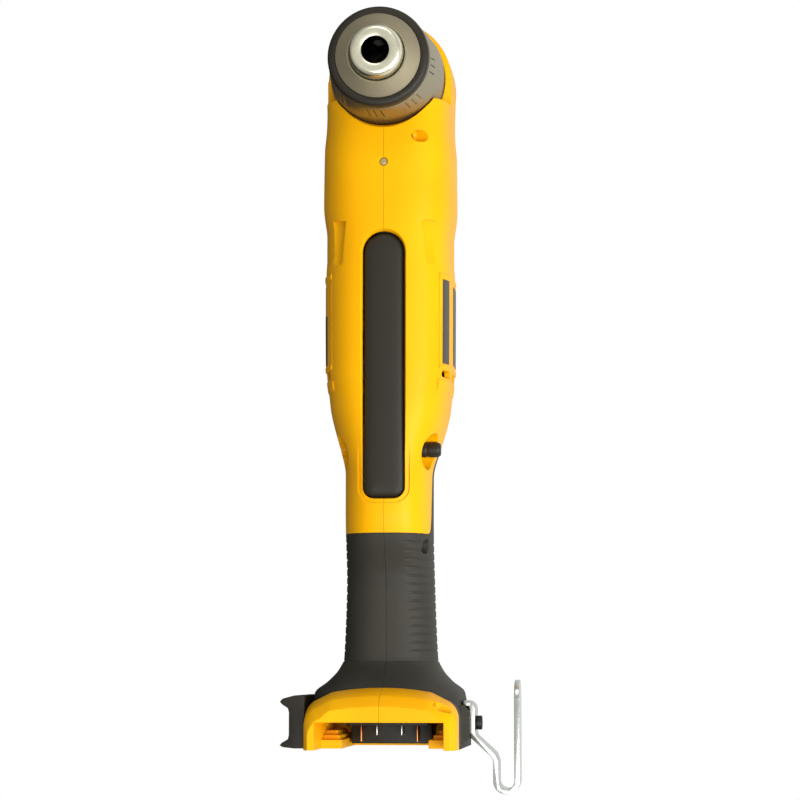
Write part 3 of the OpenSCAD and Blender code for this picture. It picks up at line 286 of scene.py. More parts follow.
def placed(piece, shift=(0, 0, 0), turn=(0, 0, 0)):
    # Turns a piece by degrees, moves it, and settles its place in its mesh.
    bare()
    bpy.context.view_layer.objects.active = piece
    piece.select_set(True)
    piece.location = shift
    piece.rotation_euler = [math.radians(a) for a in turn]
    bpy.ops.object.transform_apply(location=True, rotation=True, scale=True)
    return piece


def crosswise(piece, spot):
    # Lays a turned piece across the tool, at a distance and height.
    return placed(piece, (0, -spot[0], spot[1]), (0, 90, 0))


def rod(radius, low, high, spot, steps=48):
    # A round bar across the tool, from one x to another.
    return crosswise(turned(bar(radius, low, high), steps), spot)


def block(low, high):
    # A plain block between two corners.
    bare()
    bpy.ops.mesh.primitive_cube_add(size=1, location=[(a + b) / 2 for a, b in zip(low, high)],
                                    scale=[b - a for a, b in zip(low, high)])
    bpy.ops.object.transform_apply(location=True, rotation=True, scale=True)
    return bpy.context.object


def carve(piece, tool, how="DIFFERENCE"):
    # Cuts a tool out of a piece, joins it on or keeps what both share, and uses the tool up.
    bare()
    step = piece.modifiers.new("cut", "BOOLEAN")
    step.operation = how
    step.solver = "MANIFOLD"
    step.object = tool
    bpy.context.view_layer.objects.active = piece
    piece.select_set(True)
    bpy.ops.object.modifier_apply(modifier=step.name)
    bpy.data.objects.remove(tool)
    return piece


def ease(piece, width, parts=2, sharp=30, pick=None):
    # Breaks sharp edges, all of them or those whose middle is picked.
    bare()
    bpy.context.view_layer.objects.active = piece
    piece.select_set(True)
    bpy.ops.object.mode_set(mode="EDIT")
    bpy.ops.mesh.select_mode(type="EDGE")
    bpy.ops.mesh.select_all(action="DESELECT")
    mesh = bmesh.from_edit_mesh(piece.data)
    for e in mesh.edges:
        if len(e.link_faces) == 2 and e.calc_face_angle(0) > math.radians(sharp):
            if pick is None or pick((e.verts[0].co + e.verts[1].co) / 2):
                e.select_set(True)
    bmesh.update_edit_mesh(piece.data)
    bpy.ops.mesh.bevel(offset=width, segments=parts, affect="EDGES", clamp_overlap=True)
    bpy.ops.mesh.select_mode(type="VERT")
    bpy.ops.object.mode_set(mode="OBJECT")
    return piece


def halved(piece, side, gap=0.03):
    # Keeps one half of a piece, cut along the middle of the tool.
    bare()
    bpy.context.view_layer.objects.active = piece
    piece.select_set(True)
    bpy.ops.object.mode_set(mode="EDIT")
    bpy.ops.mesh.select_all(action="SELECT")
    bpy.ops.mesh.bisect(plane_co=(side * gap, 0, 0), plane_no=(side, 0, 0), use_fill=True, clear_inner=True)
    bpy.ops.object.mode_set(mode="OBJECT")
    return piece


def twin(piece):
    # A copy with a mesh of its own.
    copy = piece.copy()
    copy.data = piece.data.copy()
    scene.collection.objects.link(copy)
    return copy


def settle(piece, name, material, body, slot, *nodes, smooth=35):
    # Brings a piece from millimetres to its place in the tool and gives it its finish.
    bare()
    bpy.context.view_layer.objects.active = piece
    piece.select_set(True)
    piece.name = piece.data.name = name
    piece.scale = (mm, mm, mm)
    bpy.ops.object.transform_apply(location=True, rotation=True, scale=True)
    bpy.ops.object.shade_smooth_by_angle(angle=math.radians(smooth))
    piece.data.materials.clear()
    piece.data.materials.append(material)
    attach(piece, body)
    if nodes:
        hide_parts(*nodes)
    return piece


foot_end = 272
foot_half = 30.2
crown_r = 110
crown_top = 248
shoulder_top = 252


def foot_line(top, side, z, corner=8.0):
    # Outline of the foot, seen from the front: flat below, round shoulders and a low crown.
    half = foot_half - side
    crown = [(crown_r * math.sin(a), -crown_top - top - crown_r * (1 - math.cos(a)))
             for a in (math.radians(10.2 * k / 12) for k in range(13))]
    hub = (half - corner, -shoulder_top - top - corner)
    bend = [(hub[0] + corner * math.sin(a), hub[1] + corner * math.cos(a))
            for a in (math.radians(22 + 68 * k / 10) for k in range(11))]
    edge = crown + bend + [(half, -foot_end)]
    return [(x, y, z) for x, y in edge] + [(-x, y, z) for x, y in edge[:0:-1]]


def foot_block(inset, low, high):
    # The foot without its bezel, with a soft edge at the back.
    rings = [(3.2, low), (1.3, low + 0.9), (0.3, low + 2.6), (0, low + 4.4), (0, high)]
    return skin([foot_line(a + inset, a + inset, z) for a, z in rings])


# The lofted body, the turned drum of the head, the foot and the stepped bezel on its front.
beyond = 60
head_r = 25.5
shell = skin([section(d) for d in body_stations(0, body_end, 2)])
carve(shell, block((-beyond, -11.5, 40.7), (beyond, beyond, 110)))
drum = [(0, 0), (19, 0), (22.4, 2.2), (24.4, 6.5), (25.3, 12), (head_r, 18), (head_r, 39.2), (24.5, 41),
        (0, 41)]
carve(shell, turned(rounded(drum, 1.6), 128), "UNION")
bezel = ((0, 0, 66), (0, 0, 69.2), (2.9, 0.5, 76.6), (3.3, 0.7, 77.1), (6.6, 2.0, 80.5), (7.2, 2.5, 81.0))
carve(shell, skin([foot_line(*ring) for ring in bezel]), "UNION")
carve(shell, foot_block(0, 0, 69), "UNION")


def flank(d, low, high, lift, depth, side):
    # Closed outline of a thin plate that follows the flank between two turns of a cross section.
    turn = [low + (high - low) * k / 14 for k in range(15)]
    outline = section(d, -lift, 96, turn) + section(d, depth, 96, turn)[::-1]
    return [(side * x, y, z) for x, y, z in outline]


# On both flanks a pad for the plates, with a raised edge at either end, and a low rib beside it.
pad_low = -12
pad_high = 10.4
pad_root = 1.2
pad_steps = ((82.3, 0.05), (82.8, 0.5), (84.4, 0.5), (84.8, 0.2), (119.2, 0.2), (119.6, 0.5), (121.0, 0.5),
             (121.4, 0.05))
rib_steps = ((125.2, 0.05), (125.6, 0.4), (129.2, 0.4), (130.2, 0.05))
for side in (-1, 1):
    for steps in (pad_steps, rib_steps):
        plate = skin([flank(d, pad_low, pad_high, lift, pad_root, side) for d, lift in steps])
        carve(shell, plate, "UNION")

# Seven screws run across the tool, each at a distance from the spindle and a height.
screw_spots = [(27.8, 60.3), (25.2, 9.5), (131, 12), (192, 50), (226, 25), (255.6, 74), (255.6, 9)]

# The rubber's seat: what lies behind this line is cut back by the rubber's thickness. In the handle the
# rubber also lines the pocket of a screw.
rubber_thick = 1.6
lining_r = 4.0
zone = rounded([(-273, -5), (-273, 69), (-187, 69), (-187, 45.2), (-165, 40.3), (-154, 34), (-148.5, 25),
                (-147, 15), (-147, -5)], 4.5, 6)
rubber_zone = skin([[(x, y, z) for y, z in zone] for x in (-beyond, beyond)])
rubber_room = twin(rubber_zone)
core = skin([section(d, rubber_thick) for d in body_stations(120, 256, 3)])
carve(core, foot_block(rubber_thick, rubber_thick, 69.6), "UNION")
carve(core, rod(lining_r, 8.5, 40, screw_spots[3], 32))
rubber_core = twin(core)
carve(rubber_zone, core)
carve(shell, rubber_zone)

# The hollow, which leaves the walls, the bosses of the screws and the button's guide. Then the seat of
# the gear case, the tunnel of its pinion and the well that the chuck turns in.
wall = 2.4
boss_r = 3.5
guide_r = 10.2
case_r = 23.05
tunnel_r = 11.9
hollow = skin([section(d, wall + rubber_thick * ramp(d, 137, 10), 64) for d in body_stations(26, 241, 4)])
for spot in screw_spots:
    carve(hollow, rod(boss_r, -beyond, beyond, spot, 24))
for low, high in ((9, 40), (-40, -9)):
    carve(hollow, rod(guide_r, low, high, (153, 48), 32))
carve(shell, hollow)
carve(shell, turned(bar(case_r, wall, 43.9), 96))
carve(shell, placed(turned(bar(tunnel_r, 10, 29), 64), (0, 0, axis), (90, 0, 0)))
well = [(0, 43.8), (24.2, 43.8), (23.1, 56), (22.7, 60.4), (23.3, 62.2), (24.4, 64), (24.4, 90), (0, 90)]
carve(shell, turned(well, 128))

paddle_half = 8.1
paddle_top = 74.9
paddle_foot = 173


def paddle_line(grow, z):
    # The paddle's outline: a half round top and square bottom corners with a small radius.
    half = paddle_half + grow
    corner = max(0.7, 4 + grow)
    foot = -paddle_foot - grow
    top = [(half * math.cos(a), -paddle_top + half * math.sin(a))
           for a in (math.radians(180 * k / 32) for k in range(33))]
    low = [(-half + corner - corner * math.cos(a), foot + corner - corner * math.sin(a))
           for a in (math.radians(90 * k / 10) for k in range(11))]
    return [(x, y, z) for x, y in top + low + [(-x, y) for x, y in low[::-1]]]


# The paddle's slot with its flared mouth, a shallow dish round its lower end, and the hole of the light.
dish_deep = 0.5
light_d = 38.3
mouth = ((0.4, 40), (0.4, 62.6), (0.8, 63.6), (2.4, 66))
carve(shell, skin([paddle_line(grow, z) for grow, z in mouth]))
dish = skin([paddle_line(2.2, z) for z in (50, 70)])
carve(dish, skin([section(d, dish_deep * ramp(d, 150, 12) - 0.05) for d in body_stations(30, 196, 2)]))
carve(shell, dish)
light_hole = [(0, 50), (1.65, 50), (1.65, 64.1), (1.95, 64.5), (1.95, 80), (0, 80)]
carve(shell, placed(turned(light_hole, 48), (0, -light_d, 0)))


def stadium(radius, rise, count):
    # A slot's outline: two half rounds, pulled apart by twice the rise.
    return [(radius * math.cos(a), math.copysign(rise, math.sin(a) + 1e-9) + radius * math.sin(a))
            for a in (2 * math.pi * k / count for k in range(count))]


# On both flanks three vents, a scoop for the finger at the button and a flute beside the paddle's top.
# Then the button's hole and the selector's window in the back.
vent_d = 123
button_spot = (153, 46)
window_low = (-5.6, -56.4, -5)
window_high = (5.6, -38.6, 15)
scoop = rounded([(0, 12.1), (5.4, 12.1), (6.8, 13.3), (7.3, 16), (7.6, 24), (8.4, 34), (0, 34)], 0.8)
flute = [(0, -8.8), (6.6, -8.8), (7.1, -8), (7.1, 8.8), (0, 8.8)]
for side in (-1, 1):
    for high in (19, 34, 49):
        vent = [(y - vent_d, z + high) for y, z in stadium(1.4, 3.6, 24)]
        carve(shell, skin([[(side * x, y, z) for y, z in vent] for x in (16, 32)]))
    carve(shell, placed(turned(scoop, 64), (0, -154.2, 51), (0, 90 * side, 0)))
    carve(shell, placed(turned(flute, 96), (side * 22.56, -70.2, 64.53), (-89.3, 0, 4.5 * side)))
carve(shell, rod(3.35, -30, 30, button_spot))
carve(shell, block(window_low, window_high))

# Screw pockets and holes. Two of the pockets lean and start in a bowl, because the skin slopes there.
pocket_r = 3.0
pocket_floor = 6
shank_r = 1.65
bowl_r = 2.5
driver_r = 1.6
leaning = (screw_spots[0], screw_spots[5])
for spot in screw_spots:
    carve(shell, rod(pocket_r, pocket_floor, 10.2 if spot in leaning else 46, spot, 32))
    carve(shell, rod(shank_r, -9, 11, spot, 16))
bowl = [(bowl_r * math.sin(a), -bowl_r * math.cos(a)) for a in (math.radians(40 + 5 * k) for k in range(11))]
for spot, lean, deep in (((12.9, -27.8, 61.5), 68, 5.5), ((23.6, -255.2, 76.4), 84, 14)):
    pocket = turned([(0, -deep), (driver_r, -deep)] + bowl + [(bowl_r, 40), (0, 40)], 48)
    carve(shell, placed(pocket, spot, (0, lean, 0)))

# The battery's opening with three stepped rails on either side, and the holes for hook and clip.
opening_low = (-25.2, -273, 11)
opening_high = (25.2, -261.3, 131)
fixing = (262, 41)
flank_reach = ((20, 50), (-50, -20))
opening = block(opening_low, opening_high)
for side in (-1, 1):
    for inner, top, end in ((17.3, -268.6, 57), (18.7, -266.9, 51), (20.4, -265.2, 44)):
        near, far = sorted((side * inner, side * 26))
        carve(opening, block((near, -275, 5), (far, top, end)))
carve(shell, opening)
for low, high in flank_reach:
    carve(shell, rod(2.1, low, high, fixing, 24))

# Glass filled nylon from a spark eroded mould: an even grain of about half a millimetre, a slow drift in
# the dye, and corners that are rubbed a little paler.
yellow, tree, place = finish("yellow_nylon_moulded")
grain = add(tree, "TexNoise", {"Vector": place, "Scale": 1 / (0.45 * mm), "Detail": 2.0, "Roughness": 0.6})
drift = add(tree, "TexNoise", {"Vector": place, "Scale": 1 / (30 * mm), "Detail": 3.0})
edge = add(tree, "Bevel", {"Radius": 0.5 * mm}, samples=6)
flat = add(tree, "NewGeometry").outputs["Normal"]
bent = add(tree, "VectorMath", {0: edge.outputs[0], 1: flat}, operation="DOT_PRODUCT")
rub = add(tree, "MapRange", {"Value": bent.outputs["Value"], "From Min": 0.995, "From Max": 0.90,
                             "To Max": 0.35})
dye = add(tree, "ValToRGB", {"Fac": drift.outputs["Fac"]})
for stop, spot, code in zip(dye.color_ramp.elements, (0.35, 0.65), ("#eba600", "#f0ad00")):
    stop.position = spot
    stop.color = paint(code)
worn = add(tree, "Mix", {"Factor": rub.outputs["Result"], "A": dye.outputs["Color"], "B": paint("#f5b51c")},
           data_type="RGBA")
sheen = add(tree, "MapRange", {"Value": grain.outputs["Fac"], "To Min": 0.34, "To Max": 0.46})
relief = add(tree, "Bump", {"Height": grain.outputs["Fac"], "Strength": 0.25, "Distance": 0.06 * mm,
                            "Normal": edge.outputs[0]})
coat = add(tree, "BsdfPrincipled", {"Base Color": worn.outputs["Result"], "Normal": relief.outputs[0],
                                    "Roughness": sheen.outputs["Result"], "IOR": 1.5,
                                    "Specular IOR Level": 0.12})
add(tree, "OutputMaterial", {"Surface": coat.outputs[0]})

shell_left = halved(twin(shell), -1)
shell_right = halved(shell, 1)
settle(shell_left, "shell_left", yellow, "tool", "yellow_plastic", "housing_left", smooth=32)
settle(shell_right, "shell_right", yellow, "tool", "yellow_plastic", "housing_right", smooth=32)


# Grip: soft rubber moulded over the back of the neck, the handle and the sides of the foot.
# Shallow grooves every 3.3 mm round the flanks give the fingers hold.
groove_pitch = 3.3
groove_half = 0.5
groove_deep = 0.3
first_groove = 190.5
foot_groove = 237.5


def grooved(d):
    # A cross section of the grip, drawn in at a groove on the flanks and at the last one all round.
    count = 144
    turns = (d - first_groove) / groove_pitch
    off = abs(turns - round(turns)) * groove_pitch
    groove = groove_deep * max(0.0, 1 - (off / groove_half) ** 2) if 189 < d < 233.5 else 0.0
    last = groove_deep * max(0.0, 1 - ((d - foot_groove) / groove_half) ** 2)
    points = []
    for k, (outer, inner) in enumerate(zip(section(d, 0, count), section(d, 1, count))):
        c = math.cos(2 * math.pi * k / count)
        cut = groove * max(ramp(c, 0.3, 0.2), ramp(-c, 0.72, 0.2)) + last
        points.append(tuple(Vector(outer).lerp(Vector(inner), cut)))
    return points


stations = body_stations(140, 188, 2)[:-1] + body_stations(188, 240, 0.275) + body_stations(241, body_end, 1)
grip = skin([grooved(d) for d in stations])
carve(grip, foot_block(0, 0, 68.9), "UNION")
carve(grip, rubber_room, "INTERSECT")
carve(grip, rubber_core)

# A raised seat under the hook with sloping sides, then the opening and the holes as in the housing.
seat = skin([[(x, -268 - b, 30 - c), (x, -257 + b, 30 - c), (x, -257 + b, 52 + c), (x, -268 - b, 52 + c)]
             for x, b, c in ((27.2, 2, 3), (30.6, 2, 3), (32.6, 0.4, 0.4), (33.0, 0, 0))])
carve(grip, seat, "UNION")
carve(grip, block(opening_low, opening_high))
for spot in screw_spots:
    carve(grip, rod(pocket_r, pocket_floor, 50, spot, 32))
for low, high in flank_reach:
    carve(grip, rod(2.05, low, high, fixing, 24))

# Thermoplastic rubber: near black and matt, with the fine leather like grain of its mould
# and dust that greys it in patches.
rubber, tree, place = finish("black_rubber_overmould")
grain = add(tree, "TexVoronoi", {"Vector": place, "Scale": 1 / (0.6 * mm)}, feature="SMOOTH_F1")
cloud = add(tree, "TexNoise", {"Vector": place, "Scale": 1 / (12 * mm), "Detail": 4.0})
edge = add(tree, "Bevel", {"Radius": 0.4 * mm}, samples=6)
tone = add(tree, "ValToRGB", {"Fac": cloud.outputs["Fac"]})
for stop, spot, code in zip(tone.color_ramp.elements, (0.3, 0.7), ("#29271f", "#302e25")):
    stop.position = spot
    stop.color = paint(code)
dull = add(tree, "MapRange", {"Value": cloud.outputs["Fac"], "To Min": 0.55, "To Max": 0.72})
relief = add(tree, "Bump", {"Height": grain.outputs["Distance"], "Strength": 0.3, "Distance": 0.1 * mm,
                            "Normal": edge.outputs[0]})
coat = add(tree, "BsdfPrincipled", {"Base Color": tone.outputs["Color"], "Roughness": dull.outputs["Result"],
                                    "Normal": relief.outputs[0], "IOR": 1.5, "Specular IOR Level": 0.3})
add(tree, "OutputMaterial", {"Surface": coat.outputs[0]})

grip_left = halved(twin(grip), -1)
grip_right = halved(grip, 1)
settle(grip_left, "grip_left_skin", rubber, "tool", "grip_rubber", "grip_left", smooth=32)
settle(grip_right, "grip_right_skin", rubber, "tool", "grip_rubber", "grip_right", smooth=32)


# Label plates: thin plates of dark plastic film on the raised pads of both flanks, cut out and glued down.
# They lie a hair above the pad. Their long edges are eased, their ends are square.

# A plain film: dark warm grey, smooth, with the faintest mottle.
film, tree, place = finish("label_film_bare")
mottle = add(tree, "TexNoise", {"Vector": place, "Scale": 1 / (4 * mm), "Detail": 3.0})
tone = add(tree, "Mix", {"Factor": mottle.outputs["Fac"], "A": paint("#37352c"), "B": paint("#3e3c33")},
           data_type="RGBA")
dull = add(tree, "MapRange", {"Value": mottle.outputs["Fac"], "To Min": 0.34, "To Max": 0.44})
coat = add(tree, "BsdfPrincipled", {"Base Color": tone.outputs["Result"], "Roughness": dull.outputs["Result"],
                                    "IOR": 1.5, "Specular IOR Level": 0.3})
add(tree, "OutputMaterial", {"Surface": coat.outputs[0]})

plate_lift = 0.4
plate_sunk = 0.05
for name, side, start, end, low, high in (("label_right_front", 1, 84.9, 118.9, 5.0, 8.9),
                                          ("label_right", 1, 86, 118, -9, 1.0),
                                          ("label_left_front", -1, 99, 118.9, 4.2, 7.0),
                                          ("label_left", -1, 86, 118, -9, 2.4)):
    plate = skin([flank(d, low, high, plate_lift, plate_sunk, side) for d in body_stations(start, end, 2.5)])
    ease(plate, 0.8, 3, 60, lambda m: abs(abs(m.y) - start) > 0.1 and abs(abs(m.y) - end) > 0.1)
    settle(plate, name, film, "tool", "black_plastic")


# Chuck: a keyless chuck with a turned steel body and three jaws that lean towards its middle.
# The aluminium sleeve, knurled band and cap and the black plastic ring between them turn on the body
# and drive the jaws.
def ring_of(piece, count):
    # Copies of a piece, evenly spaced about the spindle and joined to one.
    copies = [placed(twin(piece), (0, 0, 0), (0, 0, 360 * k / count)) for k in range(count)]
    bpy.data.objects.remove(piece)
    bare()
    for copy in copies:
        copy.select_set(True)
    bpy.context.view_layer.objects.active = copies[0]
    bpy.ops.object.join()
    return copies[0]


# The sleeve narrows upwards, and eight groups of three slits lean a little on it.
sleeve_bore = 17.8
groups = 8
slit_spacing = 7.7
sleeve = turned([(16.9, 51.5), (sleeve_bore, 50), (sleeve_bore, 47.9), (22.9, 47.9), (23.3, 48.4),
                 (20.5, 78.8), (20.0, 79.5), (16.9, 79.5)], 192)
slit = skin([[(x, y, z) for y, z in stadium(0.26, 4.6, 16)] for x in (-0.6, 3)])
placed(slit, (0, 0, 0), (6, 0, 0))
placed(slit, (20.85, 0, 73.4), (0, -5.2, 0))
for turn in (-slit_spacing, 0, slit_spacing):
    carve(sleeve, ring_of(placed(twin(slit), (0, 0, 0), (0, 0, 39 + turn)), groups))
bpy.data.objects.remove(slit)
ease(sleeve, 0.12, 2, 40)


def knurl(radius, z, depth, count=84):
    # A ring with rounded teeth, six points to a tooth.
    points = []
    for k in range(count * 6):
        a = 2 * math.pi * k / (count * 6)
        r = radius + depth * math.cos(count * a)
        points.append((r * math.cos(a), r * math.sin(a), z))
    return points


band = skin([knurl(*ring) for ring in ((21.9, 43.5, 0.02), (22.5, 43.9, 0.15), (22.8, 44.5, 0.24),
                                       (22.8, 47.2, 0.24), (22.5, 47.9, 0.05))])
carve(band, turned(bar(sleeve_bore, 40, 50), 96))
rim = rounded([(16.9, 79.5), (20.0, 79.5), (20.2, 80.1), (20.2, 83.4), (19.7, 84.5), (18.6, 85), (16.9, 85)],
              0.5, 3)
ring = turned(rim, 160)
cap = turned([(16.9, 82.8), (16.9, 85.3), (16.6, 85.7), (12.2, 88.9), (11.9, 89.2), (11.4, 89.2),
              (11.1, 88.9), (11.1, 85)], 160)

# The body with its nose and bore, and the three channels of the jaws, each at 15 degrees.
jaw_lean = 15
nose = [(4.8, 49.5), (13.6, 49.5), (16.6, 53), (16.6, 61), (10.4, 61), (10.4, 68), (16.6, 68), (16.6, 82.5),
        (10.8, 84.5), (10.8, 91.2), (10.72, 92.4), (10.4, 93.5), (9.8, 94.4), (9.2, 94.85), (8.6, 95),
        (6.1, 95), (5.6, 94.8), (5.4, 94.3), (5.4, 85), (5.95, 85), (5.95, 62.7), (4.6, 62.7),
        (4.6, 59.5), (2.6, 59.5), (2.6, 58.7), (4.8, 58.7)]
body_of_chuck = turned(nose, 160)
channel = turned(bar(2.9, -25, 19), 48)
placed(channel, (8.0 - 2.8 / math.cos(math.radians(jaw_lean)), 0, 78.3), (0, -jaw_lean, 0))
carve(body_of_chuck, placed(ring_of(channel, 3), (0, 0, 0), (0, 0, 90)))

# Satin turned aluminium, warm grey: fine rings from the lathe, and a sheen that breaks along them.
# The cap, above 80 mm, is blasted and more matt than the sleeve.
satin, tree, place = finish("satin_turned_metal")
parts = add(tree, "SeparateXYZ", {"Vector": place})
across = add(tree, "CombineXYZ", {"X": parts.outputs["X"], "Y": parts.outputs["Y"]})
reach = add(tree, "VectorMath", {0: across.outputs[0]}, operation="LENGTH")
rings = add(tree, "CombineXYZ", {"X": reach.outputs["Value"], "Y": parts.outputs["Z"]})
lines = add(tree, "TexNoise", {"Vector": rings.outputs[0], "Scale": 1 / (0.18 * mm), "Detail": 2.0})
cloud = add(tree, "TexNoise", {"Vector": place, "Scale": 1 / (6 * mm), "Detail": 3.0})
edge = add(tree, "Bevel", {"Radius": 0.3 * mm}, samples=6)
tone = add(tree, "Mix", {"Factor": cloud.outputs["Fac"], "A": paint("#938b74"), "B": paint("#9f967e")},
           data_type="RGBA")
gloss = add(tree, "MapRange", {"Value": lines.outputs["Fac"], "To Min": 0.36, "To Max": 0.48})
matt = add(tree, "MapRange", {"Value": parts.outputs["Z"], "From Min": 80 * mm, "From Max": 82 * mm,
                              "To Max": 0.30})
gloss = add(tree, "Math", {0: gloss.outputs["Result"], 1: matt.outputs["Result"]})
relief = add(tree, "Bump", {"Height": lines.outputs["Fac"], "Strength": 0.18, "Distance": 0.03 * mm,
                            "Normal": edge.outputs[0]})
coat = add(tree, "BsdfPrincipled", {"Base Color": tone.outputs["Result"], "Metallic": 1.0,
                                    "Roughness": gloss.outputs[0], "Normal": relief.outputs[0]})
add(tree, "OutputMaterial", {"Surface": coat.outputs[0]})

# Nickel plated steel: paler and smoother than the sleeve, with small handling marks. The bore, inside
# the rim and below the face, is painted near black: painted shade for the dark deep in the hole.
nickel, tree, place = finish("nickel_plated_nose")
marks = add(tree, "TexNoise", {"Vector": place, "Scale": 1 / (4 * mm), "Detail": 3.0})
edge = add(tree, "Bevel", {"Radius": 0.2 * mm}, samples=6)
tone = add(tree, "Mix", {"Factor": marks.outputs["Fac"], "A": paint("#d6d2b9"), "B": paint("#ddd9c1")},
           data_type="RGBA")
parts = add(tree, "SeparateXYZ", {"Vector": place})
across = add(tree, "CombineXYZ", {"X": parts.outputs["X"], "Y": parts.outputs["Y"]})
reach = add(tree, "VectorMath", {0: across.outputs[0]}, operation="LENGTH")
outside = add(tree, "MapRange", {"Value": reach.outputs["Value"], "From Min": 6.4 * mm, "From Max": 6.8 * mm})
face = add(tree, "MapRange", {"Value": parts.outputs["Z"], "From Min": 93.5 * mm, "From Max": 94.2 * mm})
clear_of_painted_shade = add(tree, "Math", {0: outside.outputs["Result"], 1: face.outputs["Result"]}, operation="MAXIMUM")
# Painted shade: near black in the bore, inside the rim and below the face, where the deep hole lies in shade.
tone = add(tree, "Mix", {"Factor": clear_of_painted_shade.outputs[0], "A": paint("#1b1a18"), "B": tone.outputs["Result"]},
           data_type="RGBA")
gloss = add(tree, "MapRange", {"Value": marks.outputs["Fac"], "From Min": 0.35, "From Max": 0.7,
                               "To Min": 0.26, "To Max": 0.33})
relief = add(tree, "Bump", {"Height": marks.outputs["Fac"], "Strength": 0.02, "Distance": 0.04 * mm,
                            "Normal": edge.outputs[0]})
coat = add(tree, "BsdfPrincipled", {"Base Color": tone.outputs["Result"], "Metallic": 1.0,
                                    "Roughness": gloss.outputs["Result"], "Normal": relief.outputs[0]})
add(tree, "OutputMaterial", {"Surface": coat.outputs[0]})

# Black moulded plastic: a dark warm grey with an even fine grain and softly lit corners.
black, tree, place = finish("black_moulded_plastic")
grain = add(tree, "TexNoise", {"Vector": place, "Scale": 1 / (0.5 * mm), "Detail": 2.0})
edge = add(tree, "Bevel", {"Radius": 0.4 * mm}, samples=6)
tone = add(tree, "Mix", {"Factor": grain.outputs["Fac"], "A": paint("#221f17"), "B": paint("#28241b")},
           data_type="RGBA")
dull = add(tree, "MapRange", {"Value": grain.outputs["Fac"], "To Min": 0.4, "To Max": 0.52})
relief = add(tree, "Bump", {"Height": grain.outputs["Fac"], "Strength": 0.2, "Distance": 0.06 * mm,
                            "Normal": edge.outputs[0]})
coat = add(tree, "BsdfPrincipled", {"Base Color": tone.outputs["Result"], "Roughness": dull.outputs["Result"],
                                    "Normal": relief.outputs[0], "IOR": 1.5, "Specular IOR Level": 0.22})
add(tree, "OutputMaterial", {"Surface": coat.outputs[0]})

settle(sleeve, "chuck_sleeve_slit", satin, "sleeve_set", "sleeve_metal", "chuck_sleeve")
settle(band, "chuck_band_knurled", satin, "sleeve_set", "sleeve_metal", "chuck_band", smooth=50)
settle(ring, "chuck_ring_soft", black, "sleeve_set", "black_plastic", "chuck_ring")
settle(cap, "chuck_cap_cone", satin, "sleeve_set", "sleeve_metal", "chuck_cap")
settle(body_of_chuck, "chuck_body_turned", nickel, "spindle_set", "nose_metal", "chuck_body")


# Paddle: one long lever, moulded in black plastic, that hinges on a pin at its round top end.
# Its face is crowned, with a soft edge all round, and a barrel under its top end takes the pin.
hinge = (71.1, 58.5)
barrel_r = 3.4
hinge_pin_r = 1.55
crown = ((-0.3, 55.6), (0, 55.9), (0, 60.6), (-0.15, 61.3), (-0.5, 61.9), (-1.0, 62.35), (-1.8, 62.7),
         (-3.2, 62.98), (-5.0, 63.13), (-7.2, 63.2))
paddle = skin([paddle_line(grow, z) for grow, z in crown])
carve(paddle, rod(barrel_r, -6.5, 6.5, hinge, 48), "UNION")
carve(paddle, rod(hinge_pin_r, -20, 20, hinge, 32))
settle(paddle, "paddle_lever", black, "paddle", "black_plastic", "paddle_trigger", smooth=40)


# Direction button: a pin of black plastic, moulded in one piece, that slides across the neck.
# It is pushed in from either side, and a shallow groove runs round its long end.
pin = rounded([(0, -13.5), (2.4, -13.5), (3.05, -12.4), (3.05, 15.4), (2.8, 15.7), (2.8, 16.3), (3.05, 16.6),
               (3.05, 20.2), (2.4, 21.4), (0, 21.4)], 0.3, 3)
button = crosswise(turned(pin, 48), button_spot)
settle(button, "direction_pin", black, "button", "black_plastic", "direction_button")


# Speed selector: a ribbed slide of black plastic in a window in the back of the housing.
# It is moulded with the lug that moves the fork, and the housing holds it in.
def softened(node, width, sharp=30, parts=2):
    # A fair copy of a plain solid with its sharp edges broken.
    bare()
    piece = bpy.data.objects.new(node + "_soft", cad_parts[node].data.copy())
    scene.collection.objects.link(piece)
    piece.data.transform(Matrix.Scale(1 / mm, 4))
    bpy.context.view_layer.objects.active = piece
    piece.select_set(True)
    bpy.ops.object.mode_set(mode="EDIT")
    bpy.ops.mesh.select_all(action="SELECT")
    bpy.ops.mesh.remove_doubles(threshold=0.002)
    bpy.ops.mesh.dissolve_limited(angle_limit=math.radians(1))
    bpy.ops.object.mode_set(mode="OBJECT")
    return ease(piece, width, parts, sharp)


settle(softened("speed_selector", 0.25), "speed_slide", black, "shifter", "black_plastic", "speed_selector")


# Work light: a small moulded lens in front of one diode on its own board.
# A collar inside the housing holds it in its hole, with its end just below the skin.

# Moulded acrylic: clear, tinted by the diode's yellow chip behind it, with a little haze.
clear, tree, place = finish("clear_acrylic_lens")
haze = add(tree, "TexNoise", {"Vector": place, "Scale": 1 / (1.5 * mm), "Detail": 2.0})
mist = add(tree, "MapRange", {"Value": haze.outputs["Fac"], "To Min": 0.12, "To Max": 0.3})
coat = add(tree, "BsdfPrincipled", {"Base Color": paint("#b9a769"), "Roughness": mist.outputs["Result"],
                                    "IOR": 1.49, "Transmission Weight": 0.3})
add(tree, "OutputMaterial", {"Surface": coat.outputs[0]})
lens = rounded([(0, 59.5), (2.6, 59.5), (2.6, 61.1), (1.6, 61.1), (1.6, 63.7), (1.1, 64.1), (0, 64.2)],
               0.25, 3)
settle(placed(turned(lens, 48), (0, -light_d, 0)), "work_light_lens", clear, "tool", "clear_lens", "led_lens")


# Foot fittings: a moulded block carries four stamped blades that enter the pack's contacts as it slides
# on. The two outer blades are copper, the two shorter ones between them are tinned.
settle(softened("terminal_block", 0.3), "contact_block", black, "tool", "black_plastic", "terminal_block")

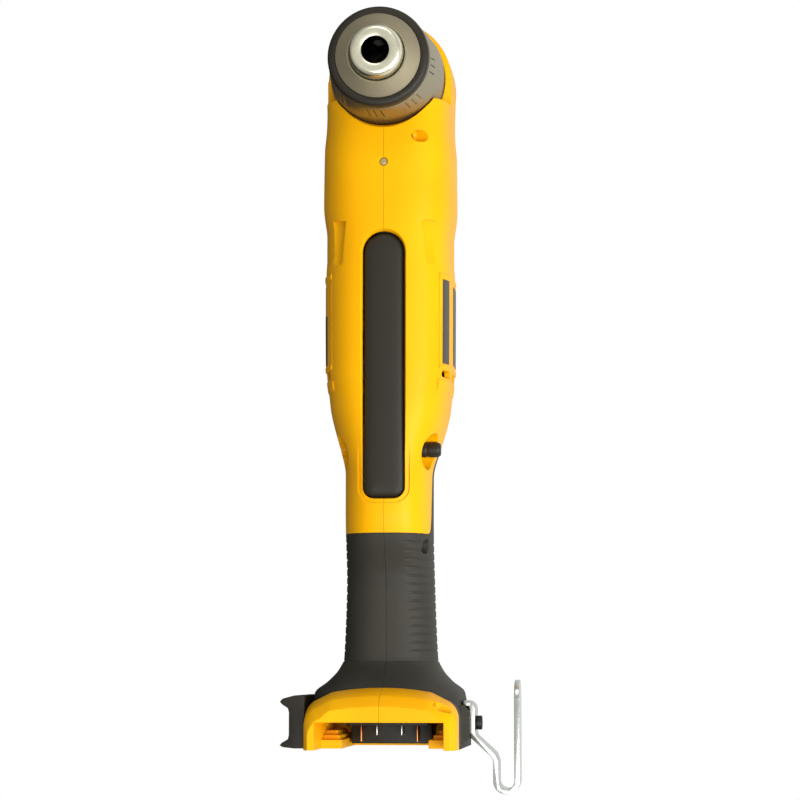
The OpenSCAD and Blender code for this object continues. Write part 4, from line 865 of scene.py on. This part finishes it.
# Bare rolled copper, and the same strip tinned: bright streaks along the strip, 0.4 mm wide and 6 mm long,
# dulled a little by handling.
streaks_across = 1 / (0.4 * mm)
streaks_along = 1 / (6.25 * mm)
metals = []
for name, dark, pale, low, high in (("rolled_copper", "#b06a3c", "#c98a58", 0.22, 0.4),
                                    ("tinned_copper", "#b9b7b0", "#d2d0c8", 0.22, 0.36)):
    made, tree, place = finish(name)
    stretch = add(tree, "Mapping", {"Vector": place,
                                    "Scale": (streaks_across, streaks_across, streaks_along)})
    streak = add(tree, "TexNoise", {"Vector": stretch.outputs[0], "Scale": 1.0, "Detail": 3.0})
    tone = add(tree, "Mix", {"Factor": streak.outputs["Fac"], "A": paint(dark), "B": paint(pale)},
               data_type="RGBA")
    gloss = add(tree, "MapRange", {"Value": streak.outputs["Fac"], "To Min": low, "To Max": high})
    coat = add(tree, "BsdfPrincipled", {"Base Color": tone.outputs["Result"], "Metallic": 1.0,
                                        "Roughness": gloss.outputs["Result"]})
    add(tree, "OutputMaterial", {"Surface": coat.outputs[0]})
    metals.append(made)
copper, tinned = metals

blade_half = 0.25
blade_root = -263.1
for name, x, drop, strip in (("blade_a", -11.3, 6.6, copper), ("blade_b", -5, 4, tinned),
                             ("blade_c", 5, 4, tinned), ("blade_d", 11.3, 6.6, copper)):
    blade = block((x - blade_half, blade_root - drop, 31), (x + blade_half, blade_root, 41))
    ease(blade, 0.12, 2, 30)
    settle(blade, name, strip, "tool", "copper", "terminals")


# Belt hook: a strip of spring steel, blanked, bent and bright zinc plated, held by one screw.
# The bit clip on the other side is moulded in black plastic, with lips that grip driver bits, and has a
# screw of its own.

# Zinc plate: a cool bright grey in soft spangles, smeared by hands into duller patches.
zinc, tree, place = finish("bright_zinc_plate")
spangle = add(tree, "TexVoronoi", {"Vector": place, "Scale": 1 / (3 * mm)}, feature="SMOOTH_F1")
smear = add(tree, "TexNoise", {"Vector": place, "Scale": 1 / (8 * mm), "Detail": 4.0})
edge = add(tree, "Bevel", {"Radius": 0.3 * mm}, samples=6)
tone = add(tree, "Mix", {"Factor": spangle.outputs["Distance"], "A": paint("#b3b7b1"), "B": paint("#c4c8c1")},
           data_type="RGBA")
gloss = add(tree, "MapRange", {"Value": smear.outputs["Fac"], "To Min": 0.16, "To Max": 0.34})
coat = add(tree, "BsdfPrincipled", {"Base Color": tone.outputs["Result"], "Metallic": 1.0,
                                    "Roughness": gloss.outputs["Result"], "Normal": edge.outputs[0]})
add(tree, "OutputMaterial", {"Surface": coat.outputs[0]})
settle(softened("belt_hook", 0.3), "belt_hook_plated", zinc, "tool", "zinc_steel", "belt_hook")
settle(softened("bit_clip", 0.45, 25, 3), "bit_clip_moulded", black, "tool", "black_plastic", "bit_clip")


# Screws: black oxide steel with crossed recesses. Seven hold the housing halves and sit deep in their
# pockets; one holds the hook and one the clip.

# Black oxide: a dark, slightly oily skin on the steel, blotched and half dull.
oxide, tree, place = finish("black_oxide_steel")
blotch = add(tree, "TexNoise", {"Vector": place, "Scale": 1 / (1.4 * mm), "Detail": 3.0})
tone = add(tree, "Mix", {"Factor": blotch.outputs["Fac"], "A": paint("#1d1d1c"), "B": paint("#2a2a28")},
           data_type="RGBA")
gloss = add(tree, "MapRange", {"Value": blotch.outputs["Fac"], "To Min": 0.34, "To Max": 0.5})
coat = add(tree, "BsdfPrincipled", {"Base Color": tone.outputs["Result"], "Metallic": 0.75,
                                    "Roughness": gloss.outputs["Result"]})
add(tree, "OutputMaterial", {"Surface": coat.outputs[0]})


def recessed(piece, heads, arm=0.45):
    # Cuts a crossed driver recess in each head, given its outer x and its place.
    for x, d, z, size in heads:
        near, far = sorted((x + math.copysign(0.2, x), x - math.copysign(1.5, x)))
        carve(piece, block((near, -d - size, z - arm), (far, -d + size, z + arm)))
        carve(piece, block((near, -d - arm, z - size), (far, -d + arm, z + size)))
    return piece


screws = recessed(softened("housing_screws", 0.3), [(8.2, d, z, 1.6) for d, z in screw_spots])
settle(screws, "case_screws", oxide, "tool", "black_screw", "housing_screws")
fixings = recessed(softened("accessory_screws", 0.3), [(37.4, *fixing, 1.7), (-36.6, *fixing, 2.2)])
settle(fixings, "hook_and_clip_screws", oxide, "tool", "black_screw", "accessory_screws")


# Drive and switch inside the housing: cast, hobbed, ground, stamped and moulded pieces as they come from
# their makers. They keep their plain solids and take the finish of their material: its dark and pale
# tone, how metallic it is, its least and most roughness and the size of its grain in millimetres.
for name, dark, pale, metal, low, high, grit, nodes in (
        # Die cast and tumbled: pale grey and faintly pebbly.
        ("cast_aluminium", "#8f9192", "#a6a8a8", 1.0, 0.42, 0.6, 0.9, ("gear_case",)),
        # Ground after hardening: bright, almost a mirror.
        ("ground_steel", "#a9abac", "#c3c5c6", 1.0, 0.16, 0.3, 0.6,
         ("spindle", "spindle_bearing_outer", "spindle_bearing_balls", "spindle_bearing_inner",
          "pinion_bearing_outer", "pinion_bearing_balls", "pinion_bearing_inner", "motor_shaft", "chuck_nut",
          "shift_fork", "motor_plate")),
        # Hobbed and case hardened: darker, with an oily sheen.
        ("hobbed_gear_steel", "#6f7274", "#8b8e90", 1.0, 0.28, 0.45, 0.8,
         ("bevel_gear", "bevel_pinion", "carrier_1", "carrier_2", "planet_1a", "planet_1b", "planet_1c",
          "planet_2a", "planet_2b", "planet_2c", "shift_ring", "ring_gear")),
        # Pressed from powder and soaked in oil: brown and finely speckled.
        ("sintered_bronze", "#8d6534", "#a77c45", 1.0, 0.35, 0.5, 0.5, ("spindle_bush",)),
        # Deep drawn and plated: pale grey with broad soft clouds.
        ("zinc_plated_can", "#9da0a0", "#b6b8b7", 1.0, 0.25, 0.42, 3, ("motor_can",)),
        # Pressed and fired: charcoal, dull and gritty.
        ("sintered_magnet", "#333436", "#434447", 0.3, 0.5, 0.7, 0.7, ("motor_magnets",)),
        # Wound wire under varnish: reddish brown with a wet sheen.
        ("varnished_winding", "#6b3f1f", "#8a5730", 0.5, 0.3, 0.5, 1.1, ("armature",)),
        # Turned copper, tarnished by the brushes.
        ("commutator_copper", "#a3663a", "#c08352", 1.0, 0.25, 0.42, 0.8, ("commutator",)),
        # Pressed carbon: sooty and quite dull.
        ("brush_carbon", "#242426", "#323234", 0.0, 0.6, 0.8, 0.4, ("brushes",)),
        # Nylon without dye: milky, with a soft sheen.
        ("natural_nylon", "#cfcabb", "#dedacd", 0.0, 0.4, 0.55, 0.8, ("fan",)),
        # Glass filled nylon: near black and faintly grainy.
        ("dark_glass_nylon", "#26282a", "#313436", 0.0, 0.45, 0.6, 0.6,
         ("gearbox_case", "end_bell", "switch_body")),
        # Moulded acetal: brick red and slightly waxy.
        ("red_acetal", "#7d2a1d", "#903527", 0.0, 0.3, 0.45, 0.7, ("switch_plunger",)),
        # Lacquered glass cloth: deep green with a faint mottle.
        ("green_circuit_board", "#245a3a", "#2f6d48", 0.0, 0.3, 0.5, 1.2, ("led_board",)),
        # Hardened and blackened: dark with a low sheen.
        ("blackened_steel", "#1f1f1e", "#2c2c2a", 0.8, 0.4, 0.55, 0.9,
         ("chuck_screw", "jaw_1", "jaw_2", "jaw_3", "paddle_pin"))):
    made, tree, place = finish(name)
    grain = add(tree, "TexNoise", {"Vector": place, "Scale": 1 / (grit * mm), "Detail": 3.0})
    edge = add(tree, "Bevel", {"Radius": 0.2 * mm}, samples=4)
    tone = add(tree, "Mix", {"Factor": grain.outputs["Fac"], "A": paint(dark), "B": paint(pale)},
               data_type="RGBA")
    gloss = add(tree, "MapRange", {"Value": grain.outputs["Fac"], "To Min": low, "To Max": high})
    relief = add(tree, "Bump", {"Height": grain.outputs["Fac"], "Strength": 0.1, "Distance": 0.05 * mm,
                                "Normal": edge.outputs[0]})
    coat = add(tree, "BsdfPrincipled", {"Base Color": tone.outputs["Result"], "Metallic": metal,
                                        "Roughness": gloss.outputs["Result"], "Normal": relief.outputs[0]})
    add(tree, "OutputMaterial", {"Surface": coat.outputs[0]})
    for node in nodes:
        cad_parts[node].data.materials.clear()
        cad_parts[node].data.materials.append(made)
